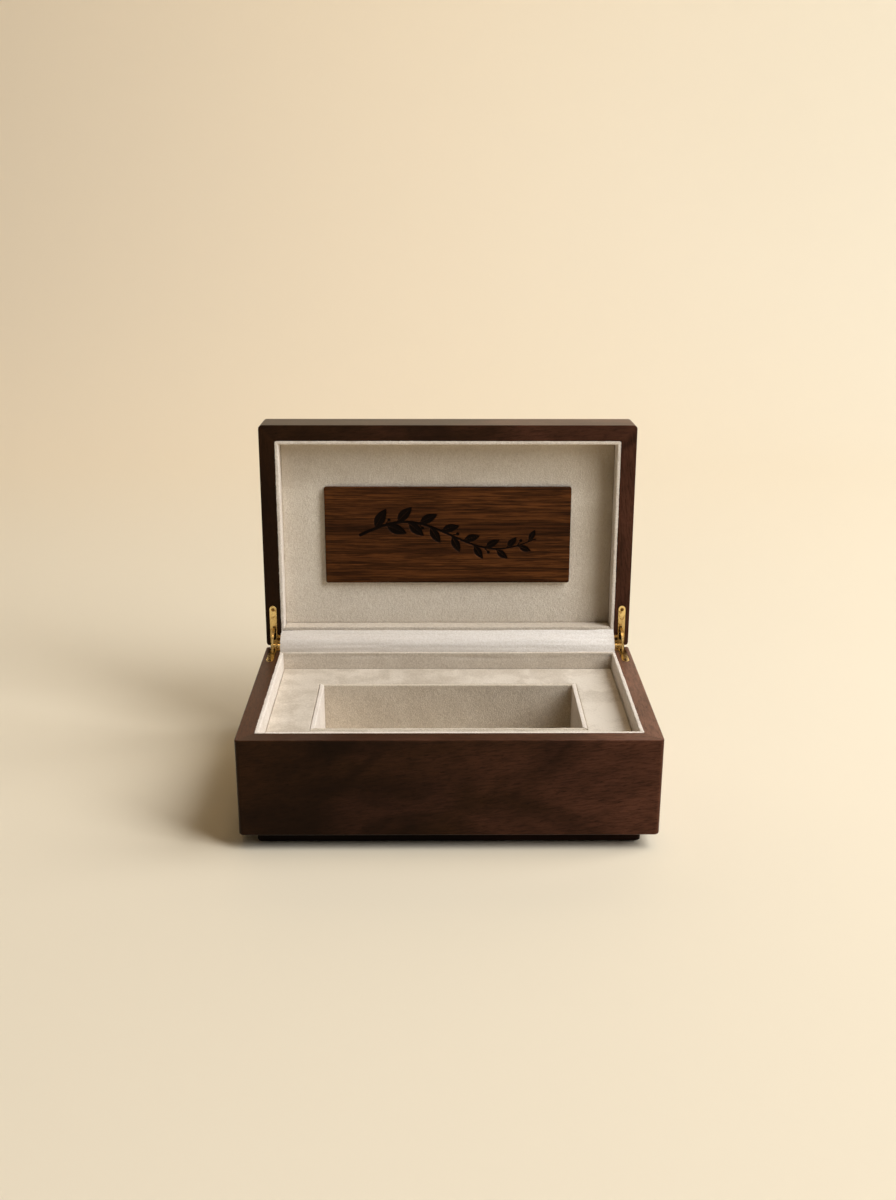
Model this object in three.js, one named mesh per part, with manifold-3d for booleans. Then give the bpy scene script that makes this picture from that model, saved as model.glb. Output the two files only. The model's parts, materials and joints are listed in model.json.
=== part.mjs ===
import * as THREE from "three";
import { mergeVertices, toCreasedNormals } from "three/addons/utils/BufferGeometryUtils.js";
import Module from "manifold-3d";

// A wooden keepsake box with a suede-lined inside, shown with its lid open against the hinge stays.
// Millimetres: X to the right, Y from front to back, Z up, origin on the table under the middle.
// Every piece is drawn with the lid closed. The lid and the stays are then turned about the hinge line.

const wasm = await Module();
wasm.setup();

// Wooden box, outside
const BOX_WIDTH = 240;
const BOX_DEPTH = 147;
const BASE_WALL_HEIGHT = 59.5;
const LID_HEIGHT = 31;
const OPEN_ANGLE_DEG = 92;
const RIM_GAP = 0.4;
const CORNER_RADIUS = 2.5;
const LID_TOP_ROUNDING = 5;
const RIM_EASING = 0.6;
const FOOT_EASING = 1.2;
const HINGE_EDGE_ROUNDING = 1.8;

// Wooden boards
const WALL_THICKNESS = 10;
const LID_TOP_THICKNESS = 8;
const BOTTOM_THICKNESS = 6;
const BOTTOM_REBATE = 4;
const PLINTH_THICKNESS = 8.5;
const PLINTH_INSET = 9;
const PLINTH_EASING = 0.8;
const FELT_THICKNESS = 1;
const FELT_INSET = 2;

// Suede lining
const LINING_THICKNESS = 2.4;
const LINING_ROUNDING = 1;
const LINING_DROP = 0.2;
const STRIP_THICKNESS = 0.8;
const STRIP_END_GAP = 0.2;
const STRIP_BACK_MARGIN = 0.6;
const STRIP_NOSE = 0.3;
const STRIP_TUCK = 18;

// Fixed insert with its deep compartment
const TRAY_DROP = 11;
const TRAY_THICKNESS = 3;
const TRAY_BORDER = 26.2;
const TRAY_ROUNDING = 0.8;
const RECESS_WALL_THICKNESS = 2.6;
const RECESS_FLOOR_THICKNESS = 2.5;

// Padded panel of the lid, and the plaque on it
const LID_HOLLOW_DEPTH = 9;
const PANEL_EDGE_ROUNDING = 3;
const PANEL_CROWN = 0.6;
const PANEL_CROWN_WIDTH = 11;
const PLAQUE_WIDTH = 160;
const PLAQUE_HEIGHT = 64;
const PLAQUE_THICKNESS = 3;
const PLAQUE_CORNER = 1.2;
const PLAQUE_CHAMFER = 0.5;

// Brass stay hinges
const ARM_WIDTH = 4.6;
const ARM_LENGTH = 27.7;
const LEAF_THICKNESS = 1.5;
const LEAF_FILLET = 1.2;
const FOOT_LENGTH = 7.4;
const FOOT_MARGIN = 0.2;
const KNUCKLE_RADIUS = 1.9;
const KNUCKLE_GAP = 0.2;
const PIN_RADIUS = 0.7;
const PIN_CLEARANCE = 0.08;
const PIN_HEAD_RADIUS = 1.3;
const PIN_HEAD_LENGTH = 0.5;
const STAY_RADIUS = 12;
const STAY_WIDTH = 2.4;
const STAY_THICKNESS = 1.2;
const STAY_OFFSET = 0.4;
const STAY_OVERRUN_DEG = 12;
const STAY_LUG_DEG = 4;
const STAY_LUG_HEIGHT = 1.5;
const STAY_CLEARANCE = 0.5;
const SLOT_WIDTH = 2;
const SLOT_BACK = 4.1;
const SLOT_LENGTH = 10;
const POCKET_WIDTH = 2.6;
const SCREW_HEAD_RADIUS = 1.2;
const SCREW_HEAD_DEPTH = 0.6;
const SCREW_SHANK_RADIUS = 0.7;
const SCREW_LENGTH = 6.5;
const SCREW_TIP_RADIUS = 0.15;
const SCREW_TIP_LENGTH = 1.4;
const SCREW_SLOT_WIDTH = 0.35;
const SCREW_SLOT_DEPTH = 0.3;

// Clearance round a piece let into a neighbour, and how far a cutter reaches past what it cuts
const FIT_GAP = 0.3;
const CUTTER_REACH = 5;

// Smoothness of curves
const ROUNDING_STEPS = 4;
const CORNER_STEPS = 5;
const CIRCLE_STEPS = 24;
const STAY_STEPS = 28;
const CREASE_DEG = 32;

// Derived sizes
const HALF_WIDTH = BOX_WIDTH / 2;
const HALF_DEPTH = BOX_DEPTH / 2;
const WALL_FOOT = FELT_THICKNESS + PLINTH_THICKNESS;
const BOTTOM_TOP = WALL_FOOT + BOTTOM_THICKNESS;
const BASE_RIM = WALL_FOOT + BASE_WALL_HEIGHT;
const LID_RIM = BASE_RIM + RIM_GAP;
const LID_TOP = LID_RIM + LID_HEIGHT;
const LID_WALL_TOP = LID_TOP - LID_TOP_THICKNESS;
const STRIP_REBATE = STRIP_THICKNESS + LINING_DROP;
const LINED_INSET = WALL_THICKNESS + LINING_THICKNESS;
const RECESS_INSET = LINED_INSET + TRAY_BORDER;
const TRAY_SURFACE = BASE_RIM - TRAY_DROP;
const PANEL_FACE = LID_RIM + LID_HOLLOW_DEPTH;
const HINGE_Y = HALF_DEPTH;
const HINGE_Z = BASE_RIM + RIM_GAP / 2;
const ARM_CENTRE = HALF_WIDTH - WALL_THICKNESS / 2;
const ARM_INNER = ARM_CENTRE - ARM_WIDTH / 2;
const ARM_OUTER = ARM_CENTRE + ARM_WIDTH / 2;
const FOOT_INNER = HALF_WIDTH - WALL_THICKNESS + FOOT_MARGIN;
const LEAF_BACK = KNUCKLE_RADIUS + FIT_GAP;
const STAY_CENTRE = ARM_CENTRE - STAY_OFFSET;
const STAY_INNER_RADIUS = STAY_RADIUS - STAY_WIDTH / 2;
const STAY_OUTER_RADIUS = STAY_RADIUS + STAY_WIDTH / 2;
const STAY_LUG_RADIUS = STAY_OUTER_RADIUS + STAY_LUG_HEIGHT;
const STAY_HALF_SPAN_DEG = OPEN_ANGLE_DEG / 2 + STAY_OVERRUN_DEG;
const POCKET_RADIUS = STAY_LUG_RADIUS + STAY_CLEARANCE;

// Hands of a hinge pair, and which way a piece of a leaf points from the rim gap
const HANDS = { left: -1, right: 1 };
const BASE_SIDE = -1;
const LID_SIDE = 1;

// Sides of the box: the way in from the outer face, its distance from the middle, and half its length
const SIDES = {
  front: { inward: [0, 1], reach: HALF_DEPTH, halfLength: HALF_WIDTH },
  right: { inward: [-1, 0], reach: HALF_WIDTH, halfLength: HALF_DEPTH },
  back: { inward: [0, -1], reach: HALF_DEPTH, halfLength: HALF_WIDTH },
  left: { inward: [1, 0], reach: HALF_WIDTH, halfLength: HALF_DEPTH },
};

const LOOKS = {
  walnut: { color: 0x3f261b, roughness: 0.42, metalness: 0 },
  plaque_walnut: { color: 0x5a3319, roughness: 0.5, metalness: 0 },
  suede: { color: 0xd2c6b2, roughness: 0.96, metalness: 0 },
  felt: { color: 0x2a211c, roughness: 1, metalness: 0 },
  brass: { color: 0xc9a050, roughness: 0.28, metalness: 1 },
};

// Solid from a closed three.js geometry
function solidOf(geometry) {
  const bare = geometry.clone();
  bare.deleteAttribute("normal");
  bare.deleteAttribute("uv");
  const merged = mergeVertices(bare);
  const vertProperties = new Float32Array(merged.attributes.position.array);
  const triVerts = new Uint32Array(merged.index.array);
  return new wasm.Manifold(new wasm.Mesh({ numProp: 3, vertProperties, triVerts }));
}

// Shaded geometry from a solid
function geometryOf(solid) {
  const { vertProperties, triVerts } = solid.getMesh();
  const geometry = new THREE.BufferGeometry();
  geometry.setAttribute("position", new THREE.BufferAttribute(vertProperties, 3));
  geometry.setIndex(new THREE.BufferAttribute(triVerts, 1));
  return toCreasedNormals(geometry, THREE.MathUtils.degToRad(CREASE_DEG));
}

// Points on an arc from one angle to another
function arc(x, y, radius, fromDeg, toDeg, steps = ROUNDING_STEPS) {
  const points = [];
  for (let k = 0; k <= steps; k += 1) {
    const angle = THREE.MathUtils.degToRad(fromDeg + ((toDeg - fromDeg) * k) / steps);
    points.push([x + radius * Math.cos(angle), y + radius * Math.sin(angle)]);
  }
  return points;
}

function circle(x, y, radius) {
  return arc(x, y, radius, 0, 360, CIRCLE_STEPS).slice(0, -1);
}

// Rectangle with rounded corners, listed anticlockwise from its right side
function roundedRectangle(halfX, halfY, radius) {
  const x = halfX - radius;
  const y = halfY - radius;
  return [
    ...arc(x, -y, radius, -90, 0, CORNER_STEPS),
    ...arc(x, y, radius, 0, 90, CORNER_STEPS),
    ...arc(-x, y, radius, 90, 180, CORNER_STEPS),
    ...arc(-x, -y, radius, 180, 270, CORNER_STEPS),
  ];
}

// Extrudes an outline, then places it with the three directions of its own axes
function extrude(points, length, xAxis, yAxis, zAxis, origin) {
  const shape = new THREE.Shape(points.map(([x, y]) => new THREE.Vector2(x, y)));
  const geometry = new THREE.ExtrudeGeometry(shape, { depth: length, bevelEnabled: false });
  const placing = new THREE.Matrix4().makeBasis(xAxis, yAxis, zAxis).setPosition(origin);
  return solidOf(geometry.applyMatrix4(placing));
}

// Plate from a plan outline between two heights
function plate(points, oneHeight, otherHeight) {
  const low = Math.min(oneHeight, otherHeight);
  const height = Math.abs(otherHeight - oneHeight);
  const axes = [new THREE.Vector3(1, 0, 0), new THREE.Vector3(0, 1, 0), new THREE.Vector3(0, 0, 1)];
  return extrude(points, height, ...axes, new THREE.Vector3(0, 0, low));
}

// Bar across the box from a cross-section of distances in front of and above the hinge line
function barAcross(section, oneEnd, otherEnd) {
  const left = Math.min(oneEnd, otherEnd);
  const length = Math.abs(otherEnd - oneEnd);
  const points = section.map(([forward, up]) => [HINGE_Y - forward, HINGE_Z + up]);
  const axes = [new THREE.Vector3(0, 1, 0), new THREE.Vector3(0, 0, 1), new THREE.Vector3(1, 0, 0)];
  return extrude(points, length, ...axes, new THREE.Vector3(left, 0, 0));
}

// Board along one side from a cross-section of distances in from the outer face and heights
function boardAlong(side, section, halfLength = SIDES[side].halfLength) {
  const { inward, reach } = SIDES[side];
  const into = new THREE.Vector3(inward[0], inward[1], 0);
  const up = new THREE.Vector3(0, 0, 1);
  const along = new THREE.Vector3().crossVectors(into, up);
  const origin = into.clone().multiplyScalar(-reach).addScaledVector(along, -halfLength);
  return extrude(section, halfLength * 2, into, up, along, origin);
}

function rectangleSection(start, end, low, high) {
  return [[start, low], [end, low], [end, high], [start, high]];
}

// Closed solid through outlines of equal point count, listed upwards, each anticlockwise
function stack(outlines) {
  const count = outlines[0].points.length;
  const topStart = (outlines.length - 1) * count;
  const positions = outlines.flatMap(({ points, z }) => points.flatMap(([x, y]) => [x, y, z]));
  const faces = [];
  for (let start = 0; start < topStart; start += count) {
    for (let k = 0; k < count; k += 1) {
      const here = start + k;
      const next = start + ((k + 1) % count);
      faces.push(here, next, next + count, here, next + count, here + count);
    }
  }
  for (let k = 1; k + 1 < count; k += 1) {
    faces.push(0, k + 1, k);
    faces.push(topStart, topStart + k, topStart + k + 1);
  }
  const geometry = new THREE.BufferGeometry();
  geometry.setAttribute("position", new THREE.Float32BufferAttribute(positions, 3));
  geometry.setIndex(faces);
  return solidOf(geometry);
}

// Insets and heights of a block whose lower and upper edges are rounded over
function roundedLevels(low, high, lowRadius, highRadius) {
  const lower = lowRadius > 0 ? arc(lowRadius, low + lowRadius, lowRadius, 270, 180) : [[0, low]];
  const upper = highRadius > 0 ? arc(highRadius, high - highRadius, highRadius, 180, 90) : [[0, high]];
  return [...lower, ...upper];
}

// Block with rounded upright corners that follows a list of insets and heights
function roundedBlock(inset, cornerRadius, levels) {
  const outlines = levels.map(([more, z]) => {
    const halfX = HALF_WIDTH - inset - more;
    const halfY = HALF_DEPTH - inset - more;
    return { points: roundedRectangle(halfX, halfY, cornerRadius), z };
  });
  return stack(outlines);
}

// Plain block inside the box's outline
function innerBlock(inset, low, high) {
  const halfX = HALF_WIDTH - inset;
  const halfY = HALF_DEPTH - inset;
  return plate([[-halfX, -halfY], [halfX, -halfY], [halfX, halfY], [-halfX, halfY]], low, high);
}

// Ring of wall between two heights, rounded outside and hollow inside
function wallRing(low, high, lowRadius, highRadius) {
  const block = roundedBlock(0, CORNER_RADIUS, roundedLevels(low, high, lowRadius, highRadius));
  return block.subtract(innerBlock(WALL_THICKNESS, low - CUTTER_REACH, high + CUTTER_REACH));
}

// Region of one side, bounded by the mitre planes at its two ends
function mitreRegion(side) {
  const { inward, reach, halfLength } = SIDES[side];
  const along = [inward[1], -inward[0]];
  const corner = (end, into) => {
    const run = end * (halfLength - into);
    return [inward[0] * (into - reach) + along[0] * run, inward[1] * (into - reach) + along[1] * run];
  };
  const outer = -CUTTER_REACH;
  const inner = RECESS_INSET + RECESS_WALL_THICKNESS + CUTTER_REACH;
  const outline = [corner(-1, outer), corner(1, outer), corner(1, inner), corner(-1, inner)];
  return plate(outline, -CUTTER_REACH, LID_TOP + CUTTER_REACH);
}

const MITRE_REGIONS = Object.fromEntries(Object.keys(SIDES).map((side) => [side, mitreRegion(side)]));

// Cross-section of a covered board whose edge at the rim is soft
function softEdged(start, thickness, foot, rim, radius) {
  const turn = Math.sign(rim - foot);
  const outer = arc(start + radius, 0, radius, 180, 90);
  const inner = arc(start + thickness - radius, 0, radius, 90, 0);
  const edge = [...outer, ...inner].map(([across, up]) => [across, rim + turn * (up - radius)]);
  return [[start, foot], ...edge, [start + thickness, foot]];
}

function mitredBoard(side, section, halfLength = SIDES[side].halfLength) {
  return boardAlong(side, section, halfLength).intersect(MITRE_REGIONS[side]);
}

// Outline of a leaf in plan, grown for the mortise it lies in
function leafOutline(hand, grow, back) {
  const tipRadius = ARM_WIDTH / 2 + grow;
  const tip = arc(ARM_CENTRE, ARM_LENGTH - ARM_WIDTH / 2, tipRadius, 0, 180, CIRCLE_STEPS / 2);
  const inner = ARM_INNER - grow;
  const shoulder = FOOT_LENGTH + grow;
  const fillet = arc(inner - LEAF_FILLET, shoulder + LEAF_FILLET, LEAF_FILLET, 0, -90);
  const foot = [[FOOT_INNER - grow, shoulder], [FOOT_INNER - grow, back]];
  const points = [[ARM_OUTER + grow, back], ...tip, ...fillet, ...foot];
  return points.map(([x, forward]) => [hand * x, HINGE_Y - forward]);
}

// Slot of a leaf in plan, with round ends
function slotOutline(hand) {
  const radius = SLOT_WIDTH / 2;
  const front = arc(STAY_CENTRE, SLOT_BACK + SLOT_LENGTH - radius, radius, 0, 180);
  const back = arc(STAY_CENTRE, SLOT_BACK + radius, radius, 180, 360);
  return [...front, ...back].map(([x, forward]) => [hand * x, HINGE_Y - forward]);
}

// Places of the two screws of a leaf: at the end of the arm and on the foot beside the slot
function screwPlaces(hand) {
  const arm = [ARM_CENTRE, ARM_LENGTH - ARM_WIDTH / 2 - FIT_GAP];
  const foot = [(FOOT_INNER + STAY_CENTRE - SLOT_WIDTH / 2) / 2, (LEAF_BACK + FOOT_LENGTH) / 2];
  const place = ([x, forward]) => [hand * x, HINGE_Y - forward];
  return { arm: place(arm), foot: place(foot) };
}

// Turned solid from depths and radii below a leaf's face, standing up or hanging down
function turned([x, y], side, depthsAndRadii) {
  const face = HINGE_Z + (side * RIM_GAP) / 2;
  const levels = depthsAndRadii.map(([depth, radius]) => [face + side * depth, radius]);
  levels.sort((a, b) => a[0] - b[0]);
  return stack(levels.map(([z, radius]) => ({ points: circle(x, y, radius), z })));
}

function screw(place, side) {
  const body = turned(place, side, [
    [0, SCREW_HEAD_RADIUS],
    [SCREW_HEAD_DEPTH, SCREW_SHANK_RADIUS],
    [SCREW_LENGTH - SCREW_TIP_LENGTH, SCREW_SHANK_RADIUS],
    [SCREW_LENGTH, SCREW_TIP_RADIUS],
  ]);
  const [x, y] = place;
  const face = HINGE_Z + (side * RIM_GAP) / 2;
  const halfLength = SCREW_HEAD_RADIUS * 2;
  const halfWidth = SCREW_SLOT_WIDTH / 2;
  const outline = [
    [x - halfLength, y - halfWidth],
    [x + halfLength, y - halfWidth],
    [x + halfLength, y + halfWidth],
    [x - halfLength, y + halfWidth],
  ];
  return body.subtract(plate(outline, face - side * FIT_GAP, face + side * SCREW_SLOT_DEPTH));
}

// Countersunk hole of a leaf for one screw
function countersink(place, side) {
  const cone = turned(place, side, [[0, SCREW_HEAD_RADIUS], [SCREW_HEAD_DEPTH, SCREW_SHANK_RADIUS]]);
  const radius = SCREW_SHANK_RADIUS + PIN_CLEARANCE;
  return cone.add(turned(place, side, [[SCREW_HEAD_DEPTH / 2, radius], [SCREW_LENGTH, radius]]));
}

// Spans of the knuckles: the base leaf has the outer two, the lid leaf the one between them
function knuckleSpans(side) {
  const start = FOOT_INNER + PIN_HEAD_LENGTH;
  const end = ARM_OUTER - PIN_HEAD_LENGTH;
  const third = (end - start) / 3;
  const half = KNUCKLE_GAP / 2;
  if (side === LID_SIDE) return [[start + third + half, end - third - half]];
  return [[start, start + third - half], [end - third + half, end]];
}

function leaf(hand, side) {
  const face = (side * RIM_GAP) / 2;
  const under = face + side * LEAF_THICKNESS;
  let solid = plate(leafOutline(hand, 0, LEAF_BACK), HINGE_Z + face, HINGE_Z + under);
  for (const [start, end] of knuckleSpans(side)) {
    const tab = rectangleSection(0, FOOT_LENGTH / 2, face, under);
    solid = solid.add(barAcross(tab, hand * start, hand * end));
    solid = solid.add(barAcross(circle(0, 0, KNUCKLE_RADIUS), hand * start, hand * end));
  }
  const bore = circle(0, 0, PIN_RADIUS + PIN_CLEARANCE);
  solid = solid.subtract(barAcross(bore, hand * (FOOT_INNER - FIT_GAP), hand * (ARM_OUTER + FIT_GAP)));
  solid = solid.subtract(plate(slotOutline(hand), HINGE_Z, HINGE_Z + under + side * FIT_GAP));
  for (const place of Object.values(screwPlaces(hand))) solid = solid.subtract(countersink(place, side));
  return solid;
}

// Hinge pin with a spread head at each end, against the outer knuckles
function hingePin(hand) {
  const [start, end] = [FOOT_INNER, ARM_OUTER];
  let solid = barAcross(circle(0, 0, PIN_RADIUS), hand * start, hand * end);
  for (const [from, to] of [[start, start + PIN_HEAD_LENGTH], [end - PIN_HEAD_LENGTH, end]]) {
    solid = solid.add(barAcross(circle(0, 0, PIN_HEAD_RADIUS), hand * from, hand * to));
  }
  return solid;
}

// Curved stay about the hinge line, with a lug at each end that stops under a leaf
function stay(hand) {
  const end = STAY_HALF_SPAN_DEG;
  const lug = end - STAY_LUG_DEG;
  const section = [
    ...arc(0, 0, STAY_INNER_RADIUS, -end, end, STAY_STEPS),
    ...arc(0, 0, STAY_LUG_RADIUS, end, lug, 1),
    ...arc(0, 0, STAY_OUTER_RADIUS, lug, -lug, STAY_STEPS),
    ...arc(0, 0, STAY_LUG_RADIUS, -lug, -end, 1),
  ];
  const half = STAY_THICKNESS / 2;
  return barAcross(section, hand * (STAY_CENTRE - half), hand * (STAY_CENTRE + half));
}

// Everything a hinge takes out of the wood on one side of the rim gap
function hingeMortise(hand, side) {
  const under = HINGE_Z + side * (RIM_GAP / 2 + LEAF_THICKNESS);
  const seat = plate(leafOutline(hand, FIT_GAP, -CUTTER_REACH), HINGE_Z, under);
  const barrel = circle(0, 0, KNUCKLE_RADIUS + FIT_GAP);
  const groove = barAcross(barrel, hand * (FOOT_INNER - FIT_GAP), hand * (ARM_OUTER + FIT_GAP));
  const backDeg = THREE.MathUtils.radToDeg(Math.acos(SLOT_BACK / POCKET_RADIUS));
  const pocketArc = arc(0, 0, POCKET_RADIUS, 0, side * backDeg, CIRCLE_STEPS / 2);
  const half = POCKET_WIDTH / 2;
  const pocket = barAcross(
    [...pocketArc, [SLOT_BACK, 0]],
    hand * (STAY_CENTRE - half),
    hand * (STAY_CENTRE + half),
  );
  const radius = SCREW_SHANK_RADIUS + FIT_GAP;
  const drillings = Object.values(screwPlaces(hand)).map((place) =>
    turned(place, side, [[0, radius], [SCREW_LENGTH + FIT_GAP, radius]]),
  );
  return drillings.reduce((all, drilling) => all.add(drilling), seat.add(groove).add(pocket));
}

// Rounding of the back edge at the hinge line, and the rebate for the suede strip between the hinges
function backRimCutter(rim, side) {
  const radius = HINGE_EDGE_ROUNDING;
  const curve = arc(radius, rim + side * radius, radius, 180, 180 + side * 90);
  const outside = [[radius, rim - side * CUTTER_REACH], [-CUTTER_REACH, rim - side * CUTTER_REACH]];
  const section = [...curve, ...outside, [-CUTTER_REACH, rim + side * radius]];
  const rounding = boardAlong("back", section, HALF_WIDTH + CUTTER_REACH);
  const rebateFloor = rim + side * STRIP_REBATE;
  const rebate = rectangleSection(-CUTTER_REACH, WALL_THICKNESS + CUTTER_REACH, rim, rebateFloor);
  return rounding.add(boardAlong("back", rebate, HALF_WIDTH - WALL_THICKNESS));
}

// Walls of the base or the lid, cut for the hinges and split at the mitres
function cutWalls(ring, rim, side) {
  let cut = ring.subtract(backRimCutter(rim, side));
  for (const hand of Object.values(HANDS)) cut = cut.subtract(hingeMortise(hand, side));
  const walls = {};
  for (const name of Object.keys(SIDES)) walls[name] = cut.intersect(MITRE_REGIONS[name]);
  return walls;
}

function addPiece(parent, name, solid, look) {
  const geometry = geometryOf(solid);
  geometry.translate(-parent.position.x, -parent.position.y, -parent.position.z);
  const mesh = new THREE.Mesh(geometry, new THREE.MeshStandardMaterial(LOOKS[look]));
  mesh.name = name;
  parent.add(mesh);
}

function addBaseWood(base) {
  const ring = wallRing(WALL_FOOT, BASE_RIM, FOOT_EASING, RIM_EASING);
  const rebate = innerBlock(WALL_THICKNESS - BOTTOM_REBATE, WALL_FOOT - CUTTER_REACH, BOTTOM_TOP);
  const walls = cutWalls(ring.subtract(rebate), BASE_RIM, BASE_SIDE);
  for (const side of Object.keys(SIDES)) addPiece(base, `base_${side}_wall`, walls[side], "walnut");
  const panel = innerBlock(WALL_THICKNESS - BOTTOM_REBATE, WALL_FOOT, BOTTOM_TOP);
  addPiece(base, "base_bottom_panel", panel, "walnut");
  const plinthLevels = roundedLevels(FELT_THICKNESS, WALL_FOOT, PLINTH_EASING, 0);
  addPiece(base, "plinth_board", roundedBlock(PLINTH_INSET, CORNER_RADIUS, plinthLevels), "walnut");
  const feltLevels = roundedLevels(0, FELT_THICKNESS, 0, 0);
  const felt = roundedBlock(PLINTH_INSET + FELT_INSET, CORNER_RADIUS, feltLevels);
  addPiece(base, "underside_felt", felt, "felt");
}

function addBaseLining(base) {
  for (const side of Object.keys(SIDES)) {
    const drop = side === "back" ? STRIP_REBATE : LINING_DROP;
    const section = softEdged(WALL_THICKNESS, LINING_THICKNESS, BOTTOM_TOP, BASE_RIM - drop, LINING_ROUNDING);
    addPiece(base, `base_lining_${side}`, mitredBoard(side, section), "suede");
  }
  const stripLow = BASE_RIM - STRIP_REBATE;
  const nose = LINED_INSET + STRIP_NOSE;
  const lying = softEdged(stripLow, STRIP_THICKNESS, STRIP_BACK_MARGIN, nose, STRIP_THICKNESS / 2);
  const section = lying.map(([up, inward]) => [inward, up]);
  const halfLength = HALF_WIDTH - WALL_THICKNESS - STRIP_END_GAP;
  addPiece(base, "base_rim_strip", mitredBoard("back", section, halfLength), "suede");
}

function addInsert(base) {
  const levels = roundedLevels(TRAY_SURFACE - TRAY_THICKNESS, TRAY_SURFACE, 0, TRAY_ROUNDING);
  const opening = innerBlock(RECESS_INSET, TRAY_SURFACE - TRAY_DROP, TRAY_SURFACE + TRAY_DROP);
  const tray = roundedBlock(LINED_INSET, TRAY_ROUNDING, levels).subtract(opening);
  addPiece(base, "tray_panel", tray, "suede");
  for (const side of Object.keys(SIDES)) {
    const section = softEdged(RECESS_INSET, RECESS_WALL_THICKNESS, BOTTOM_TOP, TRAY_SURFACE, LINING_ROUNDING);
    addPiece(base, `recess_${side}_wall`, mitredBoard(side, section), "suede");
  }
  const floorTop = BOTTOM_TOP + RECESS_FLOOR_THICKNESS;
  const floor = innerBlock(RECESS_INSET + RECESS_WALL_THICKNESS, BOTTOM_TOP, floorTop);
  addPiece(base, "recess_floor", floor, "suede");
}

function addLidWood(lid) {
  const walls = cutWalls(wallRing(LID_RIM, LID_WALL_TOP, RIM_EASING, 0), LID_RIM, LID_SIDE);
  for (const side of Object.keys(SIDES)) addPiece(lid, `lid_${side}_wall`, walls[side], "walnut");
  const levels = roundedLevels(LID_WALL_TOP, LID_TOP, 0, LID_TOP_ROUNDING);
  addPiece(lid, "lid_top_board", roundedBlock(0, CORNER_RADIUS, levels), "walnut");
}

function addLidLining(lid) {
  const rim = LID_RIM + LINING_DROP;
  for (const side of Object.keys(SIDES)) {
    const start = WALL_THICKNESS + (side === "back" ? STRIP_THICKNESS : 0);
    const section = softEdged(start, LINING_THICKNESS, LID_WALL_TOP, rim, LINING_ROUNDING);
    addPiece(lid, `lid_lining_${side}`, mitredBoard(side, section), "suede");
  }
  const fold = STRIP_THICKNESS;
  const outerFold = arc(WALL_THICKNESS, rim + fold, fold, -90, 0);
  const tuck = [[WALL_THICKNESS + fold, rim + STRIP_TUCK], [WALL_THICKNESS, rim + STRIP_TUCK]];
  const under = [[WALL_THICKNESS, rim + fold], [STRIP_BACK_MARGIN, rim + fold], [STRIP_BACK_MARGIN, rim]];
  const halfLength = HALF_WIDTH - WALL_THICKNESS - STRIP_END_GAP;
  const strip = mitredBoard("back", [...outerFold, ...tuck, ...under], halfLength);
  addPiece(lid, "lid_rim_strip", strip, "suede");
}

// Insets and heights of the padded panel, from its slightly crowned face to its straight back
function paddedLevels() {
  const levels = [];
  for (let k = 0; k < ROUNDING_STEPS; k += 1) {
    const share = k / ROUNDING_STEPS;
    const inset = PANEL_EDGE_ROUNDING + PANEL_CROWN_WIDTH * (1 - share);
    levels.push([inset, PANEL_FACE + PANEL_CROWN * share * share]);
  }
  const shoulder = PANEL_FACE + PANEL_CROWN;
  return [...levels, ...roundedLevels(shoulder, LID_WALL_TOP, PANEL_EDGE_ROUNDING, 0)];
}

function addLidPanel(lid) {
  const backInset = LINED_INSET + STRIP_THICKNESS;
  const halfY = HALF_DEPTH - (LINED_INSET + backInset) / 2;
  const shift = (LINED_INSET - backInset) / 2;
  const halfX = HALF_WIDTH - LINED_INSET;
  const outlines = paddedLevels().map(([inset, z]) => {
    const points = roundedRectangle(halfX - inset, halfY - inset, PANEL_EDGE_ROUNDING / 2);
    return { points: points.map(([x, y]) => [x, y + shift]), z };
  });
  addPiece(lid, "lid_padded_panel", stack(outlines), "suede");
  const front = PANEL_FACE - PLAQUE_THICKNESS;
  const plaqueLevels = [[PLAQUE_CHAMFER, front], [0, front + PLAQUE_CHAMFER], [0, PANEL_FACE]];
  const plaque = plaqueLevels.map(([inset, z]) => {
    const points = roundedRectangle(PLAQUE_WIDTH / 2 - inset, PLAQUE_HEIGHT / 2 - inset, PLAQUE_CORNER);
    return { points: points.map(([x, y]) => [x, y + shift]), z };
  });
  addPiece(lid, "wood_plaque", stack(plaque), "plaque_walnut");
}

function addHinge(name, hand, base, lid, swing) {
  addPiece(base, `hinge_${name}_base_leaf`, leaf(hand, BASE_SIDE), "brass");
  addPiece(lid, `hinge_${name}_lid_leaf`, leaf(hand, LID_SIDE), "brass");
  addPiece(base, `hinge_${name}_pin`, hingePin(hand), "brass");
  addPiece(swing, `hinge_${name}_stay`, stay(hand), "brass");
  for (const [place, spot] of Object.entries(screwPlaces(hand))) {
    addPiece(base, `hinge_${name}_base_${place}_screw`, screw(spot, BASE_SIDE), "brass");
    addPiece(lid, `hinge_${name}_lid_${place}_screw`, screw(spot, LID_SIDE), "brass");
  }
}

// Group that turns about the hinge line by a share of the opening
function hingedGroup(openShare) {
  const group = new THREE.Group();
  group.position.set(0, HINGE_Y, HINGE_Z);
  group.rotation.x = THREE.MathUtils.degToRad(-OPEN_ANGLE_DEG * openShare);
  return group;
}

function keepsakeBox() {
  const box = new THREE.Group();
  const base = new THREE.Group();
  const lidOpenShare = 1;
  const stayOpenShare = lidOpenShare / 2;
  const lid = hingedGroup(lidOpenShare);
  box.add(base, lid);
  addBaseWood(base);
  addBaseLining(base);
  addInsert(base);
  addLidWood(lid);
  addLidLining(lid);
  addLidPanel(lid);
  for (const [name, hand] of Object.entries(HANDS)) {
    const swing = hingedGroup(stayOpenShare);
    box.add(swing);
    addHinge(name, hand, base, lid, swing);
  }
  return box;
}

const group = keepsakeBox();
export default group;
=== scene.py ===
import json
import math

import bmesh
import bpy
import numpy as np
from mathutils import Matrix, Vector, noise


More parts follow.
